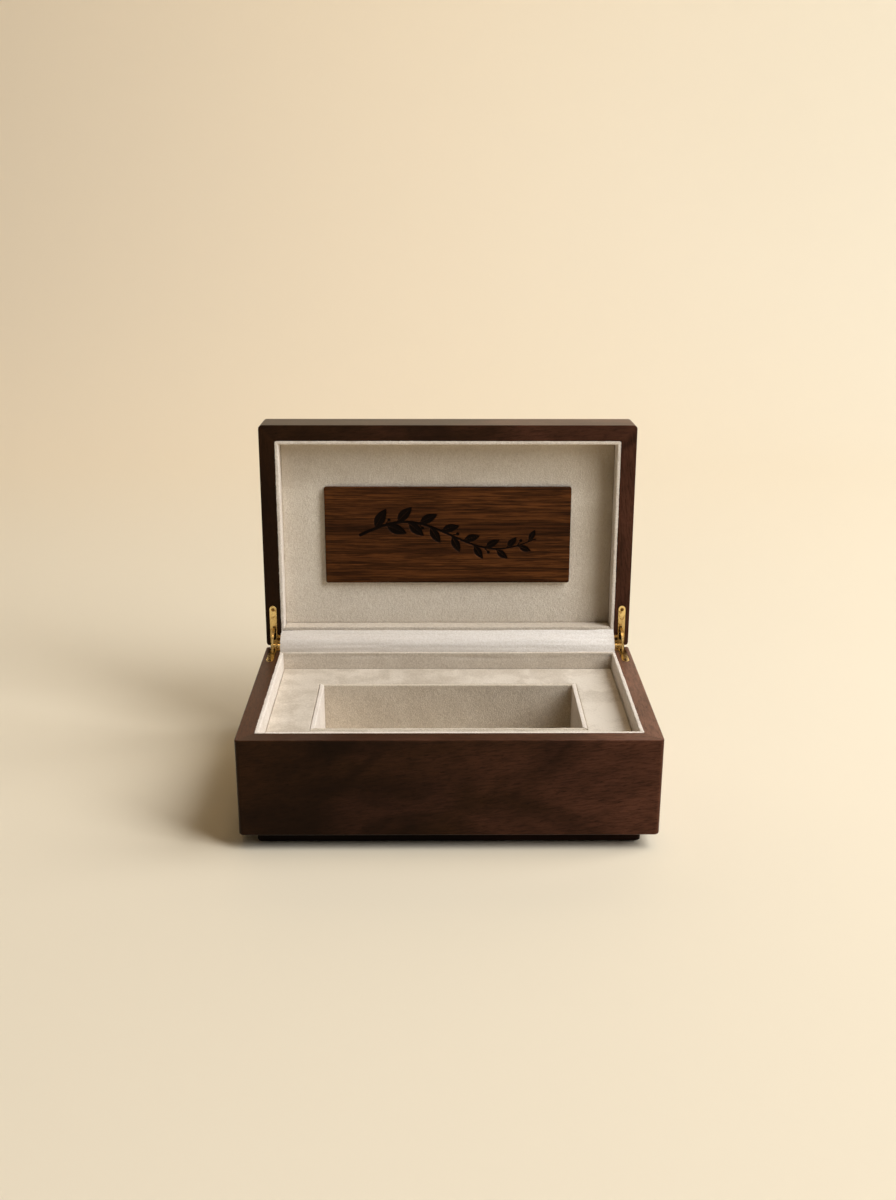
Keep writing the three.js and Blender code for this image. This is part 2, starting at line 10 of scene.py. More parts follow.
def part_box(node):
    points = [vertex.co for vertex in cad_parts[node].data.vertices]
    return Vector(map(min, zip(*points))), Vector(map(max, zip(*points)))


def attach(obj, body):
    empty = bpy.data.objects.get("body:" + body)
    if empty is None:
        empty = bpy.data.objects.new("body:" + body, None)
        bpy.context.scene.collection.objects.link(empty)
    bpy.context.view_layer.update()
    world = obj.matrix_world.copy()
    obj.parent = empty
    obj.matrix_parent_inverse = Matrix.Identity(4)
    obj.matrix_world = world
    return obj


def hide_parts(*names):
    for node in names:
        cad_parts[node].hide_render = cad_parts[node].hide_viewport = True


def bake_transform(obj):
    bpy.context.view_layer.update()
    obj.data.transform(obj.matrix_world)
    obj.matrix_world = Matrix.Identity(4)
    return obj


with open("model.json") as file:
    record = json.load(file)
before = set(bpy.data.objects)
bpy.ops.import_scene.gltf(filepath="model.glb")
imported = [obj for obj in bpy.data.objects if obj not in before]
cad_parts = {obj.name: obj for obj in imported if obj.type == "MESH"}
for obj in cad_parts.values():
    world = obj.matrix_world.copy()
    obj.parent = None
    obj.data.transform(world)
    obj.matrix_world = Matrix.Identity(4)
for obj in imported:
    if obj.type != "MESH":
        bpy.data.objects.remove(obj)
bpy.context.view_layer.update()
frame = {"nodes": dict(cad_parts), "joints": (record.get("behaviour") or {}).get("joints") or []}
MM = 0.001


# Camera
# A 38 mm lens on a full-frame body, a little above the box and almost square to its front.
# It looks down into the tray, so the lid, the tray and the front wall all show.
LENS = 38.43
SENSOR = 36
CAMERA_PLACE = Vector((-6.61, -721.8, 373.3)) * MM
CAMERA_DOWN = math.radians(18.873)
CAMERA_TURN = math.radians(-0.490)
CAMERA_ROLL = math.radians(0.125)

ahead = Vector((
    -math.sin(CAMERA_TURN) * math.cos(CAMERA_DOWN),
    math.cos(CAMERA_TURN) * math.cos(CAMERA_DOWN),
    -math.sin(CAMERA_DOWN),
))
level = Vector((math.cos(CAMERA_TURN), math.sin(CAMERA_TURN), 0))
upward = level.cross(ahead)
camera_right = level * math.cos(CAMERA_ROLL) + upward * math.sin(CAMERA_ROLL)
camera_up = upward * math.cos(CAMERA_ROLL) - level * math.sin(CAMERA_ROLL)
camera_axes = Matrix((camera_right, camera_up, -ahead)).transposed().to_4x4()
camera_data = bpy.data.cameras.new("camera")
camera_data.lens = LENS
camera_data.sensor_width = SENSOR
camera = bpy.data.objects.new("camera", camera_data)
camera.matrix_world = Matrix.Translation(CAMERA_PLACE) @ camera_axes
bpy.context.scene.collection.objects.link(camera)
bpy.context.scene.camera = camera
bpy.context.scene.view_settings.view_transform = "Standard"


# Walnut walls, bottom, plinth and lid top
# Solid walnut boards, mitred and glued at the corners, stained dark and rubbed to a satin shine.
# The grain runs along each board. A smoky band crosses the front, which turns redder to its right:
# partly its own warmth, partly painted light.
# The plinth is stained almost black, which also paints in the shade under the overhanging walls.
RED_WALNUT = (100, 62, 47)
BROWN_WALNUT = (52, 32, 18)
BLACK_WALNUT = (28, 17, 10)
# Painted highlight: the rim colours paint the upward-facing top of the rims lighter and redder.
RIM_HIGHLIGHT_BROWN = (75, 43, 27)
RIM_HIGHLIGHT_RED = (136, 95, 77)
PORE_BROWN = (12, 7, 4)
FINISH_ROUGHNESS = 0.45
FINISH_SHINE = 0.04
GRAZING_GLOSS = 0.65
GRAZING_FROM_TO = (0.35, 0.8)
ALONG_X, ALONG_Y, ALONG_Z = range(3)
GRAIN_TILT = math.radians(7)
CLOUD_STRETCH, GRAIN_STRETCH = 0.5, 0.13
# A noise is given by its scale, detail, roughness and distortion, and FROM_TO is where a mask of it
# starts and where it is full. A SHARE or WEIGHT is how much of it is used.
CLOUDS = (24, 4, 0.6, 0.8)
CLOUDS_FROM_TO = (0.25, 0.7)
WARMTH = (31.2, 3, 0.55, 0.6)
WARMTH_SHIFT = (0.37, 0.11, 0.05)
WARMTH_WEIGHT = 0.6
PAINTED_LIGHT_TO_RIGHT = 1.7
RED_FROM_TO = (0.18, 0.66)
RED_SHARE = 0.85
BAND_SLOPE = 1.07
BAND_OFFSET = 0.1057
BAND_HALF = 7 * MM
BAND_CLOUDS_FROM_TO = (0.3, 0.6)
BAND_SHARE = 0.55
WANDER = (60, 2, 0.5)
WANDER_WIDTH = 12 * MM
STREAKS = (900, 4, 0.65, 0.4)
STREAKS_FROM_TO = (0.4, 0.68)
STREAK_SHARE = 0.5
PORES = (2200, 2, 0.5)
PORES_FROM_TO = (0.58, 0.7)
PORE_SHARE = 0.45
SMEARS = (38, 3, 0.6)
SMEARS_ROUGHEN, PORES_ROUGHEN = 0.14, 0.1
STREAK_RELIEF, PORE_RELIEF = 0.6, 0.5
GRAIN_BUMP, GRAIN_DEPTH = 0.16, 0.12 * MM
RIM_FROM_TO = (68.0 * MM, 68.5 * MM)
UPWARD_FROM_TO = (0.6, 0.95)
REAR_FROM_TO = (-30 * MM, 70 * MM)
REAR_DARKER = 0.3


def shade(colour):
    """A colour as it looks on a screen, from 0 to 255, as the linear colour of a shader."""
    linear = [((c / 255 + 0.055) / 1.055) ** 2.4 if c > 10 else c / 255 / 12.92 for c in colour]
    return (*linear, 1)


class Value:
    """What a node gives. Sums and products of numbers add the Math nodes that work them out."""

    def __init__(self, nodes, socket):
        self.nodes = nodes
        self.socket = socket

    def math(self, operation, first, second):
        return self.nodes.add("Math", {"operation": operation}, {0: first, 1: second})

    def __add__(self, other):
        return self.math("ADD", self, other)

    def __radd__(self, other):
        return self.math("ADD", other, self)

    def __sub__(self, other):
        return self.math("SUBTRACT", self, other)

    def __rsub__(self, other):
        return self.math("SUBTRACT", other, self)

    def __mul__(self, other):
        return self.math("MULTIPLY", self, other)

    def __rmul__(self, other):
        return self.math("MULTIPLY", other, self)


class Nodes:
    """A node tree of a material or of the world, built from the texture towards the surface."""

    def __init__(self, tree):
        self.tree = tree

    def add(self, kind, settings=None, inputs=None, output=0):
        node = self.tree.nodes.new(f"ShaderNode{kind}")
        for name, value in (settings or {}).items():
            setattr(node, name, value)
        for name, value in (inputs or {}).items():
            self.join(self.pick(node.inputs, name), value)
        return None if output is None else Value(self, self.pick(node.outputs, output))

    def pick(self, sockets, name):
        """A socket by its name or its number, among those that the node's settings leave in use."""
        shown = [s for s in sockets if s.enabled]
        return shown[name] if isinstance(name, int) else next(s for s in shown if s.name == name)

    def join(self, socket, value):
        if isinstance(value, Value):
            self.tree.links.new(value.socket, socket)
        else:
            socket.default_value = value

    def surface(self, **inputs):
        """Sets sockets of the shader a material starts with, by their names in small letters."""
        shader = self.tree.nodes["Principled BSDF"]
        for name, value in inputs.items():
            self.join(shader.inputs[name.replace("_", " ").title().replace("Ior", "IOR")], value)

    def place(self):
        return self.add("TexCoord", output="Object")

    def along(self, axis, vector):
        return self.add("SeparateXYZ", {}, {"Vector": vector}, axis)

    def turned(self, place, axis, angle):
        turn = {"Vector": place, "Angle": angle}
        return self.add("VectorRotate", {"rotation_type": f"{axis}_AXIS"}, turn)

    def stretched(self, place, factors):
        return self.add("VectorMath", {"operation": "MULTIPLY"}, {0: place, 1: factors})

    def shifted(self, place, step):
        return self.add("VectorMath", {"operation": "ADD"}, {0: place, 1: step})

    def noise(self, place, scale, detail, roughness, distortion=0.0):
        inputs = {"Vector": place, "Scale": scale, "Detail": detail, "Roughness": roughness}
        return self.add("TexNoise", {}, {**inputs, "Distortion": distortion})

    def steps(self, value, start, end):
        """0 at the start and 1 at the end, whichever of them is higher, and smooth between them."""
        inputs = {"Value": value, "From Min": start, "From Max": end}
        return self.add("MapRange", {"interpolation_type": "SMOOTHSTEP"}, inputs)

    def mask(self, place, noise, from_to):
        return self.steps(self.noise(place, *noise), *from_to)

    def size_of(self, value):
        return self.add("Math", {"operation": "ABSOLUTE"}, {0: value})

    def mixed(self, share, first, second):
        """Two colours, the second with that share. Each is a link or is given from 0 to 255."""
        first, second = (c if isinstance(c, Value) else shade(c) for c in (first, second))
        return self.add("Mix", {"data_type": "RGBA"}, {"Factor": share, "A": first, "B": second})

    def bump(self, height, strength, distance):
        return self.add("Bump", {}, {"Height": height, "Strength": strength, "Distance": distance})


def material(name):
    made = bpy.data.materials.new(name)
    made.use_nodes = True
    return made, Nodes(made.node_tree)


def walnut(name, along, stain_and_shade=0.0, rim_highlight=0.0, gloss=GRAZING_GLOSS):
    """Satin walnut whose grain runs along one axis.

    The stain_and_shade is how far it is stained towards black or given painted shade, and
    rim_highlight how far a lighter, redder highlight is painted on its upward-facing rim.
    """
    made, nodes = material(name)
    place = nodes.place()
    across, deep, height = (nodes.along(axis, place) for axis in "XYZ")
    tilted = nodes.turned(place, "X" if along == ALONG_Y else "Y", GRAIN_TILT)
    cloud_space, grain_space = (
        nodes.stretched(tilted, [stretch if axis == along else 1.0 for axis in range(3)])
        for stretch in (CLOUD_STRETCH, GRAIN_STRETCH)
    )
    clouds = nodes.noise(cloud_space, *CLOUDS)
    warmth = nodes.noise(nodes.shifted(cloud_space, WARMTH_SHIFT), *WARMTH)
    wander = (nodes.noise(place, *WANDER) - 0.5) * WANDER_WIDTH
    band_distance = nodes.size_of(across - height * BAND_SLOPE + wander + BAND_OFFSET)
    band = nodes.steps(band_distance, BAND_HALF, 0.0) * nodes.steps(clouds, *BAND_CLOUDS_FROM_TO)
    streaks = nodes.noise(grain_space, *STREAKS)
    pores = nodes.mask(grain_space, PORES, PORES_FROM_TO)
    # Painted light: the wood turns redder and lighter towards the right, where the lamps stand,
    # over its own random warmth.
    redness_and_painted_light = nodes.steps(warmth * WARMTH_WEIGHT + across * PAINTED_LIGHT_TO_RIGHT, *RED_FROM_TO)
    clouded = nodes.mixed(nodes.steps(clouds, *CLOUDS_FROM_TO), BLACK_WALNUT, BROWN_WALNUT)
    figured = nodes.mixed(redness_and_painted_light * RED_SHARE, clouded, RED_WALNUT)
    banded = nodes.mixed(band * BAND_SHARE, figured, BLACK_WALNUT)
    rim_tone = nodes.mixed(redness_and_painted_light, RIM_HIGHLIGHT_BROWN, RIM_HIGHLIGHT_RED)
    # Painted highlight: the upward-facing rim is painted lighter and redder, less so towards the
    # rear.
    facing = nodes.add("NewGeometry", output="Normal")
    faces_up = nodes.steps(nodes.along("Z", facing), *UPWARD_FROM_TO)
    darkened = nodes.steps(deep, *REAR_FROM_TO) * REAR_DARKER
    painted_rim_highlight = nodes.steps(height, *RIM_FROM_TO) * faces_up * (1 - darkened) * rim_highlight
    rimmed = nodes.mixed(painted_rim_highlight, banded, rim_tone)
    dark_streaks = nodes.steps(streaks, *STREAKS_FROM_TO) * STREAK_SHARE
    streaked = nodes.mixed(dark_streaks, rimmed, BLACK_WALNUT)
    grained = nodes.mixed(pores * PORE_SHARE, streaked, PORE_BROWN)
    colour = nodes.mixed(stain_and_shade, grained, PORE_BROWN)
    smears = nodes.noise(place, *SMEARS) - 0.5
    roughness = FINISH_ROUGHNESS + smears * SMEARS_ROUGHEN + pores * PORES_ROUGHEN
    grain = streaks * STREAK_RELIEF - pores * PORE_RELIEF
    normal = nodes.bump(grain, GRAIN_BUMP, GRAIN_DEPTH)
    edge_on = nodes.add("LayerWeight", {}, {"Blend": 0.5}, "Facing")
    coat = nodes.steps(edge_on, *GRAZING_FROM_TO) * gloss
    nodes.surface(base_color=colour, roughness=roughness, normal=normal, coat_weight=coat)
    nodes.surface(specular_ior_level=FINISH_SHINE, coat_roughness=0.3, coat_ior=1.5)
    return made


def finished(node_name, look):
    """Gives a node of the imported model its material."""
    materials = frame["nodes"][node_name].data.materials
    materials.clear()
    materials.append(look)


WALNUT_BOARDS = {
    walnut("walnut_of_the_base", ALONG_X, rim_highlight=0.5):
        ["base_front_wall", "base_back_wall", "base_bottom_panel"],
    walnut("walnut_grain_across", ALONG_X, gloss=0.42):
        ["lid_front_wall", "lid_back_wall", "lid_top_board"],
    walnut("walnut_grain_front_to_back", ALONG_Y, rim_highlight=1.0):
        ["base_left_wall", "base_right_wall"],
    walnut("walnut_grain_upright", ALONG_Z, stain_and_shade=0.1):
        ["lid_left_wall", "lid_right_wall"],
    # Painted shade: the plinth's near-black stands partly for the shade under the walls.
    walnut("black_walnut_painted_shade", ALONG_X, stain_and_shade=0.8):
        ["plinth_board"],
}
for wood, boards in WALNUT_BOARDS.items():
    for board in boards:
        finished(board, wood)


# Suede lining boards of the base
# Thin boards wrapped in beige suede, glued inside the walls, with a soft round bead at the rim.
# The nap lies in brushed patches, lighter and darker, and the edges are a little fuzzy.
SIDES = ["front", "right", "back", "left"]
BEAD_ROUNDING = 0.9 * MM
BEAD_STEPS = 5
SHOULDER_SHARE = 0.45
FULL_BEAD = 0.2 * MM
STATION_STEP = 0.7 * MM
SEEN_DEPTH = 14 * MM
FACE_STEP = 0.9 * MM
HIDDEN_STEP = 7 * MM
SHARP_FROM = math.radians(50)
LINING_CORNER = 1.6 * MM
NAP_DEPTH, NAP_SIZE = 0.1 * MM, 1.0 * MM
SWELL_DEPTH, SWELL_SIZE = 0.14 * MM, 17 * MM
FRINGE, REAR_FRINGE = 0.6 * MM, 0.2 * MM
FRINGE_SIZE, FRINGE_DEPTH = 0.9 * MM, 0.28 * MM
FRINGE_OUTWARD = 0.15
FRINGE_SHIFT = Vector((0, 40, 0))
PALE_SUEDE = (228, 218, 203)
DEEP_SUEDE = (193, 180, 163)
PALE_SUEDE_PAINTED_LIGHT = (246, 238, 228)
DEEP_SUEDE_PAINTED_LIGHT = (216, 204, 190)
SHEEN_CREAM = (255, 250, 242)
SUEDE_ROUGHNESS = 0.93
NAP_ROUGHENS = 0.1
PATCHES = (55, 4, 0.6, 0.5)
PATCHES_FROM_TO = (0.3, 0.7)
PATCH_SHARE = 0.24
STROKES = (640, 3, 0.6, 0.9)
STROKES_FROM_TO = (0.36, 0.64)
STROKE_SHARE, STROKE_RELIEF = 0.22, 0.45
PEBBLES = (1100, 2, 0.6, 0.3)
PEBBLES_FROM_TO = (0.38, 0.62)
PEBBLE_SHARE, PEBBLE_RELIEF = 0.42, 0.45
FUZZ = (2600, 2, 0.7)
FUZZ_SHARE, FUZZ_RELIEF = 0.06, 0.1
NAP_BUMP, NAP_HEIGHT = 0.3, 0.9 * MM

walls_low, walls_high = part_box("base_front_wall")[0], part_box("base_right_wall")[1]
HALF_WIDTH = walls_high.x
HALF_DEPTH = -walls_low.y
REAR_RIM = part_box("base_rim_strip")[1].z + 0.3 * MM
REAR_ROUNDING = 0.6 * MM
REAR_FOLD_DEPTH = 0.6 * MM
REAR_FOLD_WIDTH = 1.1 * MM
REAR_FOLD_DROP = 3.0 * MM
REAR_FOLD_WAVE = 0.8 * MM
REAR_FOLD_LENGTH = 31 * MM
REAR_FOLD_MEAN, REAR_FOLD_VARIES = 0.4, 0.9
REAR_FOLD_PATCH = 35 * MM


def napped(nodes, colour, nap, normal, roughness=SUEDE_ROUGHNESS):
    """Joins a suede's colour and relief to its shader. The nap makes it rougher here and there."""
    rough = roughness + (nap - 0.5) * NAP_ROUGHENS
    nodes.surface(base_color=colour, roughness=rough, normal=normal, specular_ior_level=0.15)
    nodes.surface(sheen_weight=0.2, sheen_roughness=0.5, sheen_tint=shade(SHEEN_CREAM))


def pale_tips(nodes, strokes, pebbles, stroke_share, pebble_share):
    """How much of the pale tone shows where the nap's strokes and pebbles stand up."""
    streaky = nodes.steps(strokes, *STROKES_FROM_TO) * stroke_share
    return streaky + nodes.steps(pebbles, *PEBBLES_FROM_TO) * pebble_share


def suede(name, brush=(1, 1, 1), relief=NAP_BUMP, deep=DEEP_SUEDE, pale=PALE_SUEDE):
    """Brushed suede, its strokes drawn out along the axis with the brush's smallest factor."""
    made, nodes = material(name)
    place = nodes.place()
    brushed = nodes.stretched(place, brush)
    patches = nodes.mask(place, PATCHES, PATCHES_FROM_TO)
    strokes = nodes.noise(brushed, *STROKES)
    pebbles = nodes.noise(brushed, *PEBBLES)
    fuzz = nodes.noise(place, *FUZZ)
    tips = pale_tips(nodes, strokes, pebbles, STROKE_SHARE, PEBBLE_SHARE) + fuzz * FUZZ_SHARE
    colour = nodes.mixed(patches * PATCH_SHARE + tips, deep, pale)
    height = strokes * STROKE_RELIEF + pebbles * PEBBLE_RELIEF + fuzz * FUZZ_RELIEF
    napped(nodes, colour, fuzz, nodes.bump(height, relief, NAP_HEIGHT))
    return made


def inset_along(side, box):
    """How far the outer and inner face of a board lie in from the box's outer face."""
    low, high = box
    if side == "front":
        return low.y + HALF_DEPTH, high.y + HALF_DEPTH
    if side == "back":
        return HALF_DEPTH - high.y, HALF_DEPTH - low.y
    if side == "left":
        return low.x + HALF_WIDTH, high.x + HALF_WIDTH
    return HALF_WIDTH - high.x, HALF_WIDTH - low.x


def half_along(side):
    return HALF_WIDTH if side in ("front", "back") else HALF_DEPTH


def on_side(side, share, inset, height):
    """A point of a mitred board: share runs from -1 to 1 between the mitres at that inset."""
    across, deep = share * (HALF_WIDTH - inset), share * (HALF_DEPTH - inset)
    return {
        "front": (across, inset - HALF_DEPTH, height),
        "right": (HALF_WIDTH - inset, deep, height),
        "back": (-across, HALF_DEPTH - inset, height),
        "left": (inset - HALF_WIDTH, -deep, height),
    }[side]


def spaced(start, end, step):
    """Numbers from start to end at about that step, with the last one left out."""
    count = max(1, round(abs(end - start) / step))
    return [start + (end - start) * k / count for k in range(count)]


def bead(centre, radius, side, toward, first_deg, last_deg):
    """A quarter of a bead, inward or outward by side 1 or -1, up or down by toward 1 or -1."""
    inset, height = centre
    turn = last_deg - first_deg
    angles = [math.radians(first_deg + turn * k / BEAD_STEPS) for k in range(BEAD_STEPS + 1)]
    return [(inset + side * radius * math.sin(a), height + toward * radius * math.cos(a))
            for a in angles]


def board_section(outer, inner, foot, rim, rounding, seen):
    """Outline of a wrapped board as insets and heights, up its outer face and down its inner."""
    toward = 1 if rim > foot else -1
    top = rim - toward * rounding
    seen_end = top - toward * min(seen, abs(top - foot))
    shoulder = rounding * SHOULDER_SHARE
    outside = [(outer, h) for h in spaced(foot, rim - toward * shoulder, HIDDEN_STEP)]
    over = bead((outer + shoulder, rim - toward * shoulder), shoulder, -1, toward, 90, 0)
    under = bead((inner - rounding, top), rounding, 1, toward, 0, 90)
    inside = [(inner, h) for h in spaced(top - toward * FACE_STEP, seen_end, FACE_STEP)]
    hidden = [(inner, h) for h in spaced(seen_end, foot, HIDDEN_STEP)]
    return outside + over + under + inside + hidden + [(inner, foot)]


def meshed(name, points, faces, look):
    mesh = bpy.data.meshes.new(name)
    mesh.from_pydata([tuple(p) for p in points], [], faces)
    shell = bmesh.new()
    shell.from_mesh(mesh)
    bmesh.ops.recalc_face_normals(shell, faces=shell.faces)
    shell.to_mesh(mesh)
    shell.free()
    mesh.shade_smooth()
    mesh.set_sharp_from_angle(angle=SHARP_FROM)
    mesh.materials.append(look)
    piece = bpy.data.objects.new(name, mesh)
    bpy.context.scene.collection.objects.link(piece)
    return piece


def lofted(name, rings, look, loop=False):
    """A closed mesh through rings of points, capped at its ends or joined into a loop."""
    rings = np.asarray(rings, float)
    count, size = rings.shape[:2]
    faces = []
    for r in range(count if loop else count - 1):
        near, far = r * size, (r + 1) % count * size
        faces += [(near + p, near + (p + 1) % size, far + (p + 1) % size, far + p)
                  for p in range(size)]
    if not loop:
        faces += [tuple(range(size)), tuple(range((count - 1) * size, count * size))]
    return meshed(name, rings.reshape(-1, 3), faces, look)


def ruffled(piece, *layers):
    """Moves each point along its normal by noise. A layer is a depth, its sizes and a shift."""
    mesh = piece.data
    normals = [v.normal.copy() for v in mesh.vertices]
    for vertex, normal in zip(mesh.vertices, normals):
        place = vertex.co.copy()
        for depth, size, shift in layers:
            sizes = size if isinstance(size, tuple) else (size, size, size)
            spot = Vector([c / length for c, length in zip(place, sizes)])
            vertex.co += normal * depth * noise.noise(spot + Vector((shift, 0, 0)))
    mesh.update()


def fringed(along, inset, height, rim, middle, fringe):
    """Spreads the crest of a bead to both sides of its middle by noise, so that it looks fuzzy."""
    near = max(0, 1 - abs(height - rim) / FRINGE_DEPTH)
    side = 1 if inset > middle else -1
    spot = Vector((along, inset, height)) / FRINGE_SIZE
    spread = side * (FRINGE_OUTWARD + noise.noise(spot))
    raised = REAR_FRINGE * near * noise.noise(spot + FRINGE_SHIFT)
    return inset + fringe * near * spread, height + raised


def softened(point, outer, corner):
    """The same point, drawn in where a lining turns one of its two front corners at that radius."""
    x, y, height = point
    over_x = abs(x) - (HALF_WIDTH - outer - corner)
    over_y = -y - (HALF_DEPTH - outer - corner)
    if over_x <= 0 or over_y <= 0:
        return point
    drawn_in = 1 - max(over_x, over_y) / math.hypot(over_x, over_y)
    return x - math.copysign(over_x * drawn_in, x), y + over_y * drawn_in, height


def lining_board(name, side, box, foot, rim, look, rounding=BEAD_ROUNDING, seen=SEEN_DEPTH,
                 fringe=FRINGE, corner=LINING_CORNER, place=Vector):
    """One mitred board along a side of the box, lofted from mitre to mitre."""
    outer, inner = inset_along(side, box)
    outline = board_section(outer, inner, foot, rim, rounding, seen)
    half = half_along(side) - outer
    middle = (outer + inner) / 2
    rings = []
    for share in [*spaced(-1, 1, STATION_STEP / half), 1]:
        frayed = [fringed(share * half, *point, rim, middle, fringe) for point in outline]
        points = [softened(on_side(side, share, *point), outer, corner) for point in frayed]
        rings.append([place(point) for point in points])
    piece = lofted(name, rings, look)
    ruffled(piece, (SWELL_DEPTH, SWELL_SIZE, 3), (NAP_DEPTH, NAP_SIZE, 11))
    return piece


def rear_fold(point):
    """How deep the soft fold along the rear lining is at one place."""
    fold = REAR_RIM - REAR_FOLD_DROP - REAR_FOLD_WAVE * math.sin(point.x / REAR_FOLD_LENGTH)
    near = math.exp(-((point.z - fold) / REAR_FOLD_WIDTH) ** 2)
    patch = noise.noise(Vector((point.x / REAR_FOLD_PATCH, 5, 0)))
    return REAR_FOLD_DEPTH * near * max(0, REAR_FOLD_MEAN + REAR_FOLD_VARIES * patch)


suede_flat = suede("brushed_suede")
# Painted light: this paler copy of the suede, on the front and side boards, paints the sheen of
# light on their nap.
suede_painted_light = suede("brushed_suede_painted_light", deep=DEEP_SUEDE_PAINTED_LIGHT, pale=PALE_SUEDE_PAINTED_LIGHT)
for side in SIDES:
    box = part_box(f"base_lining_{side}")
    name, foot = f"suede_base_lining_{side}", box[0].z
    if side == "back":
        board = lining_board(name, side, box, foot, REAR_RIM, suede_flat, REAR_ROUNDING,
                             fringe=REAR_FRINGE)
        for vertex in board.data.vertices:
            vertex.co.y += rear_fold(vertex.co)
    else:
        board = lining_board(name, side, box, foot, box[1].z + FULL_BEAD, suede_painted_light)
    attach(board, "base")
    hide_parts(f"base_lining_{side}")


# Suede tray
# One board covered with suede, let down inside the lining, with an oblong opening for the recess.
# Its nap has been stroked by hand, so soft light and dark patches lie across it.
TRAY_PALE = (224, 215, 201)
TRAY_DEEP = (184, 172, 155)
TRAY_GAP = 0.3 * MM
TRAY_EDGE = 0.6 * MM
TRAY_STEP = 1.5 * MM
TRAY_SWELL = 0.22 * MM
TRAY_SWELL_SIZE = 26 * MM
STROKED_PATCHES = (60, 4, 0.6, 0.5)
STROKED_PATCHES_FROM_TO = (0.37, 0.63)
STROKED_PATCH_SHARE = 0.44
BROAD_PATCHES = (20, 2, 0.5, 0.4)
BROAD_SHIFT = (0.2, 0.4, 0)
BROAD_FROM_TO = (0.32, 0.68)
BROAD_SHARE = 0.26
TRAY_PEBBLES = (900, 3, 0.6, 0.4)
TRAY_PEBBLE_SHARE, TRAY_PEBBLE_RELIEF = 0.3, 0.6
TRAY_FUZZ = (1900, 3, 0.7)
TRAY_FUZZ_RELIEF = 0.3
TRAY_BUMP, TRAY_NAP_HEIGHT = 0.35, 0.6 * MM
TRAY_DARKER = 0.04
PAINTED_LIGHT_RIGHT_FROM_TO = (60 * MM, 100 * MM)
PAINTED_LIGHT_RIGHT_SHARE = 0.4


def tray_suede():
    made, nodes = material("stroked_suede")
    place = nodes.place()
    patches = nodes.mask(place, STROKED_PATCHES, STROKED_PATCHES_FROM_TO)
    broad = nodes.mask(nodes.shifted(place, BROAD_SHIFT), BROAD_PATCHES, BROAD_FROM_TO)
    pebbles = nodes.noise(place, *TRAY_PEBBLES)
    fuzz = nodes.noise(place, *TRAY_FUZZ)
    stroked = patches * STROKED_PATCH_SHARE + broad * BROAD_SHARE
    nap = nodes.steps(pebbles, *PEBBLES_FROM_TO) * TRAY_PEBBLE_SHARE
    # Painted light: the tray is painted paler towards its right side, where the lamps are.
    painted_light_right = nodes.steps(nodes.along("X", place), *PAINTED_LIGHT_RIGHT_FROM_TO) * PAINTED_LIGHT_RIGHT_SHARE
    colour = nodes.mixed(stroked + nap - TRAY_DARKER + painted_light_right, TRAY_DEEP, TRAY_PALE)
    height = pebbles * TRAY_PEBBLE_RELIEF + fuzz * TRAY_FUZZ_RELIEF
    normal = nodes.bump(height, TRAY_BUMP, TRAY_NAP_HEIGHT)
    napped(nodes, colour, fuzz, normal, roughness=0.94)
    return made


tray_low, tray_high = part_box("tray_panel")
tray_outer = inset_along("left", (tray_low, tray_high))[0] + TRAY_GAP
tray_inner = inset_along("left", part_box("recess_left_wall"))[0] - TRAY_GAP
flat_from, flat_to = tray_outer + TRAY_EDGE, tray_inner - TRAY_EDGE
tray_outline = [
    (tray_outer, tray_low.z),
    *bead((flat_from, tray_high.z - TRAY_EDGE), TRAY_EDGE, -1, 1, 90, 0),
    *((inset, tray_high.z) for inset in spaced(flat_from + TRAY_STEP, flat_to, TRAY_STEP)),
    *bead((flat_to, tray_high.z - TRAY_EDGE), TRAY_EDGE, 1, 1, 0, 90),
    (tray_inner, tray_low.z),
]
tray_rings = [
    [on_side(side, share, *point) for point in tray_outline]
    for side in SIDES for share in spaced(-1, 1, TRAY_STEP / half_along(side))
]
tray = lofted("suede_tray", tray_rings, tray_suede(), loop=True)
ruffled(tray, (TRAY_SWELL, TRAY_SWELL_SIZE, 7), (NAP_DEPTH, NAP_SIZE, 2))
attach(tray, "base")
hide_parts("tray_panel")


# Deep recess under the tray
# Four suede-wrapped boards hang round the opening and a suede-covered floor closes them below.
# At the sides their soft top edges stand a little above the tray, beside a fine dark seam.
RECESS_PALE = (230, 219, 201)
RECESS_DEEP = (190, 176, 156)
RECESS_BEAD = 0.6 * MM
RECESS_FRINGE = 0.15 * MM
RECESS_STANDS = {"front": 0.0, "right": 0.4 * MM, "back": 0.12 * MM, "left": 0.4 * MM}
RECESS_NAP = 0.1 * MM
RECESS_NAP_SIZE = (1.6 * MM, 1.6 * MM, 2.6 * MM)
ROUGH_BRUSH = (1.7, 1.7, 1.2)
ROUGH_BUMP, PALE_ROUGH_BUMP = 0.8, 0.5
FLOOR_EDGE = 0.8 * MM
FLOOR_STEP = 2.5 * MM

suede_rough = suede("rough_suede", ROUGH_BRUSH, ROUGH_BUMP, RECESS_DEEP, RECESS_PALE)
suede_rough_painted_light = suede("rough_suede_painted_light", ROUGH_BRUSH, PALE_ROUGH_BUMP, DEEP_SUEDE_PAINTED_LIGHT, PALE_SUEDE_PAINTED_LIGHT)
for side in SIDES:
    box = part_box(f"recess_{side}_wall")
    name, foot, rim = f"suede_recess_{side}_wall", box[0].z, box[1].z + RECESS_STANDS[side]
    # Painted light: the recess's side walls take a paler copy of the rough suede.
    look = suede_rough_painted_light if side in ("left", "right") else suede_rough
    board = lining_board(name, side, box, foot, rim, look, RECESS_BEAD, seen=rim - foot,
                         fringe=RECESS_FRINGE, corner=0)
    ruffled(board, (RECESS_NAP, RECESS_NAP_SIZE, 21))
    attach(board, "base")
    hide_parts(f"recess_{side}_wall")


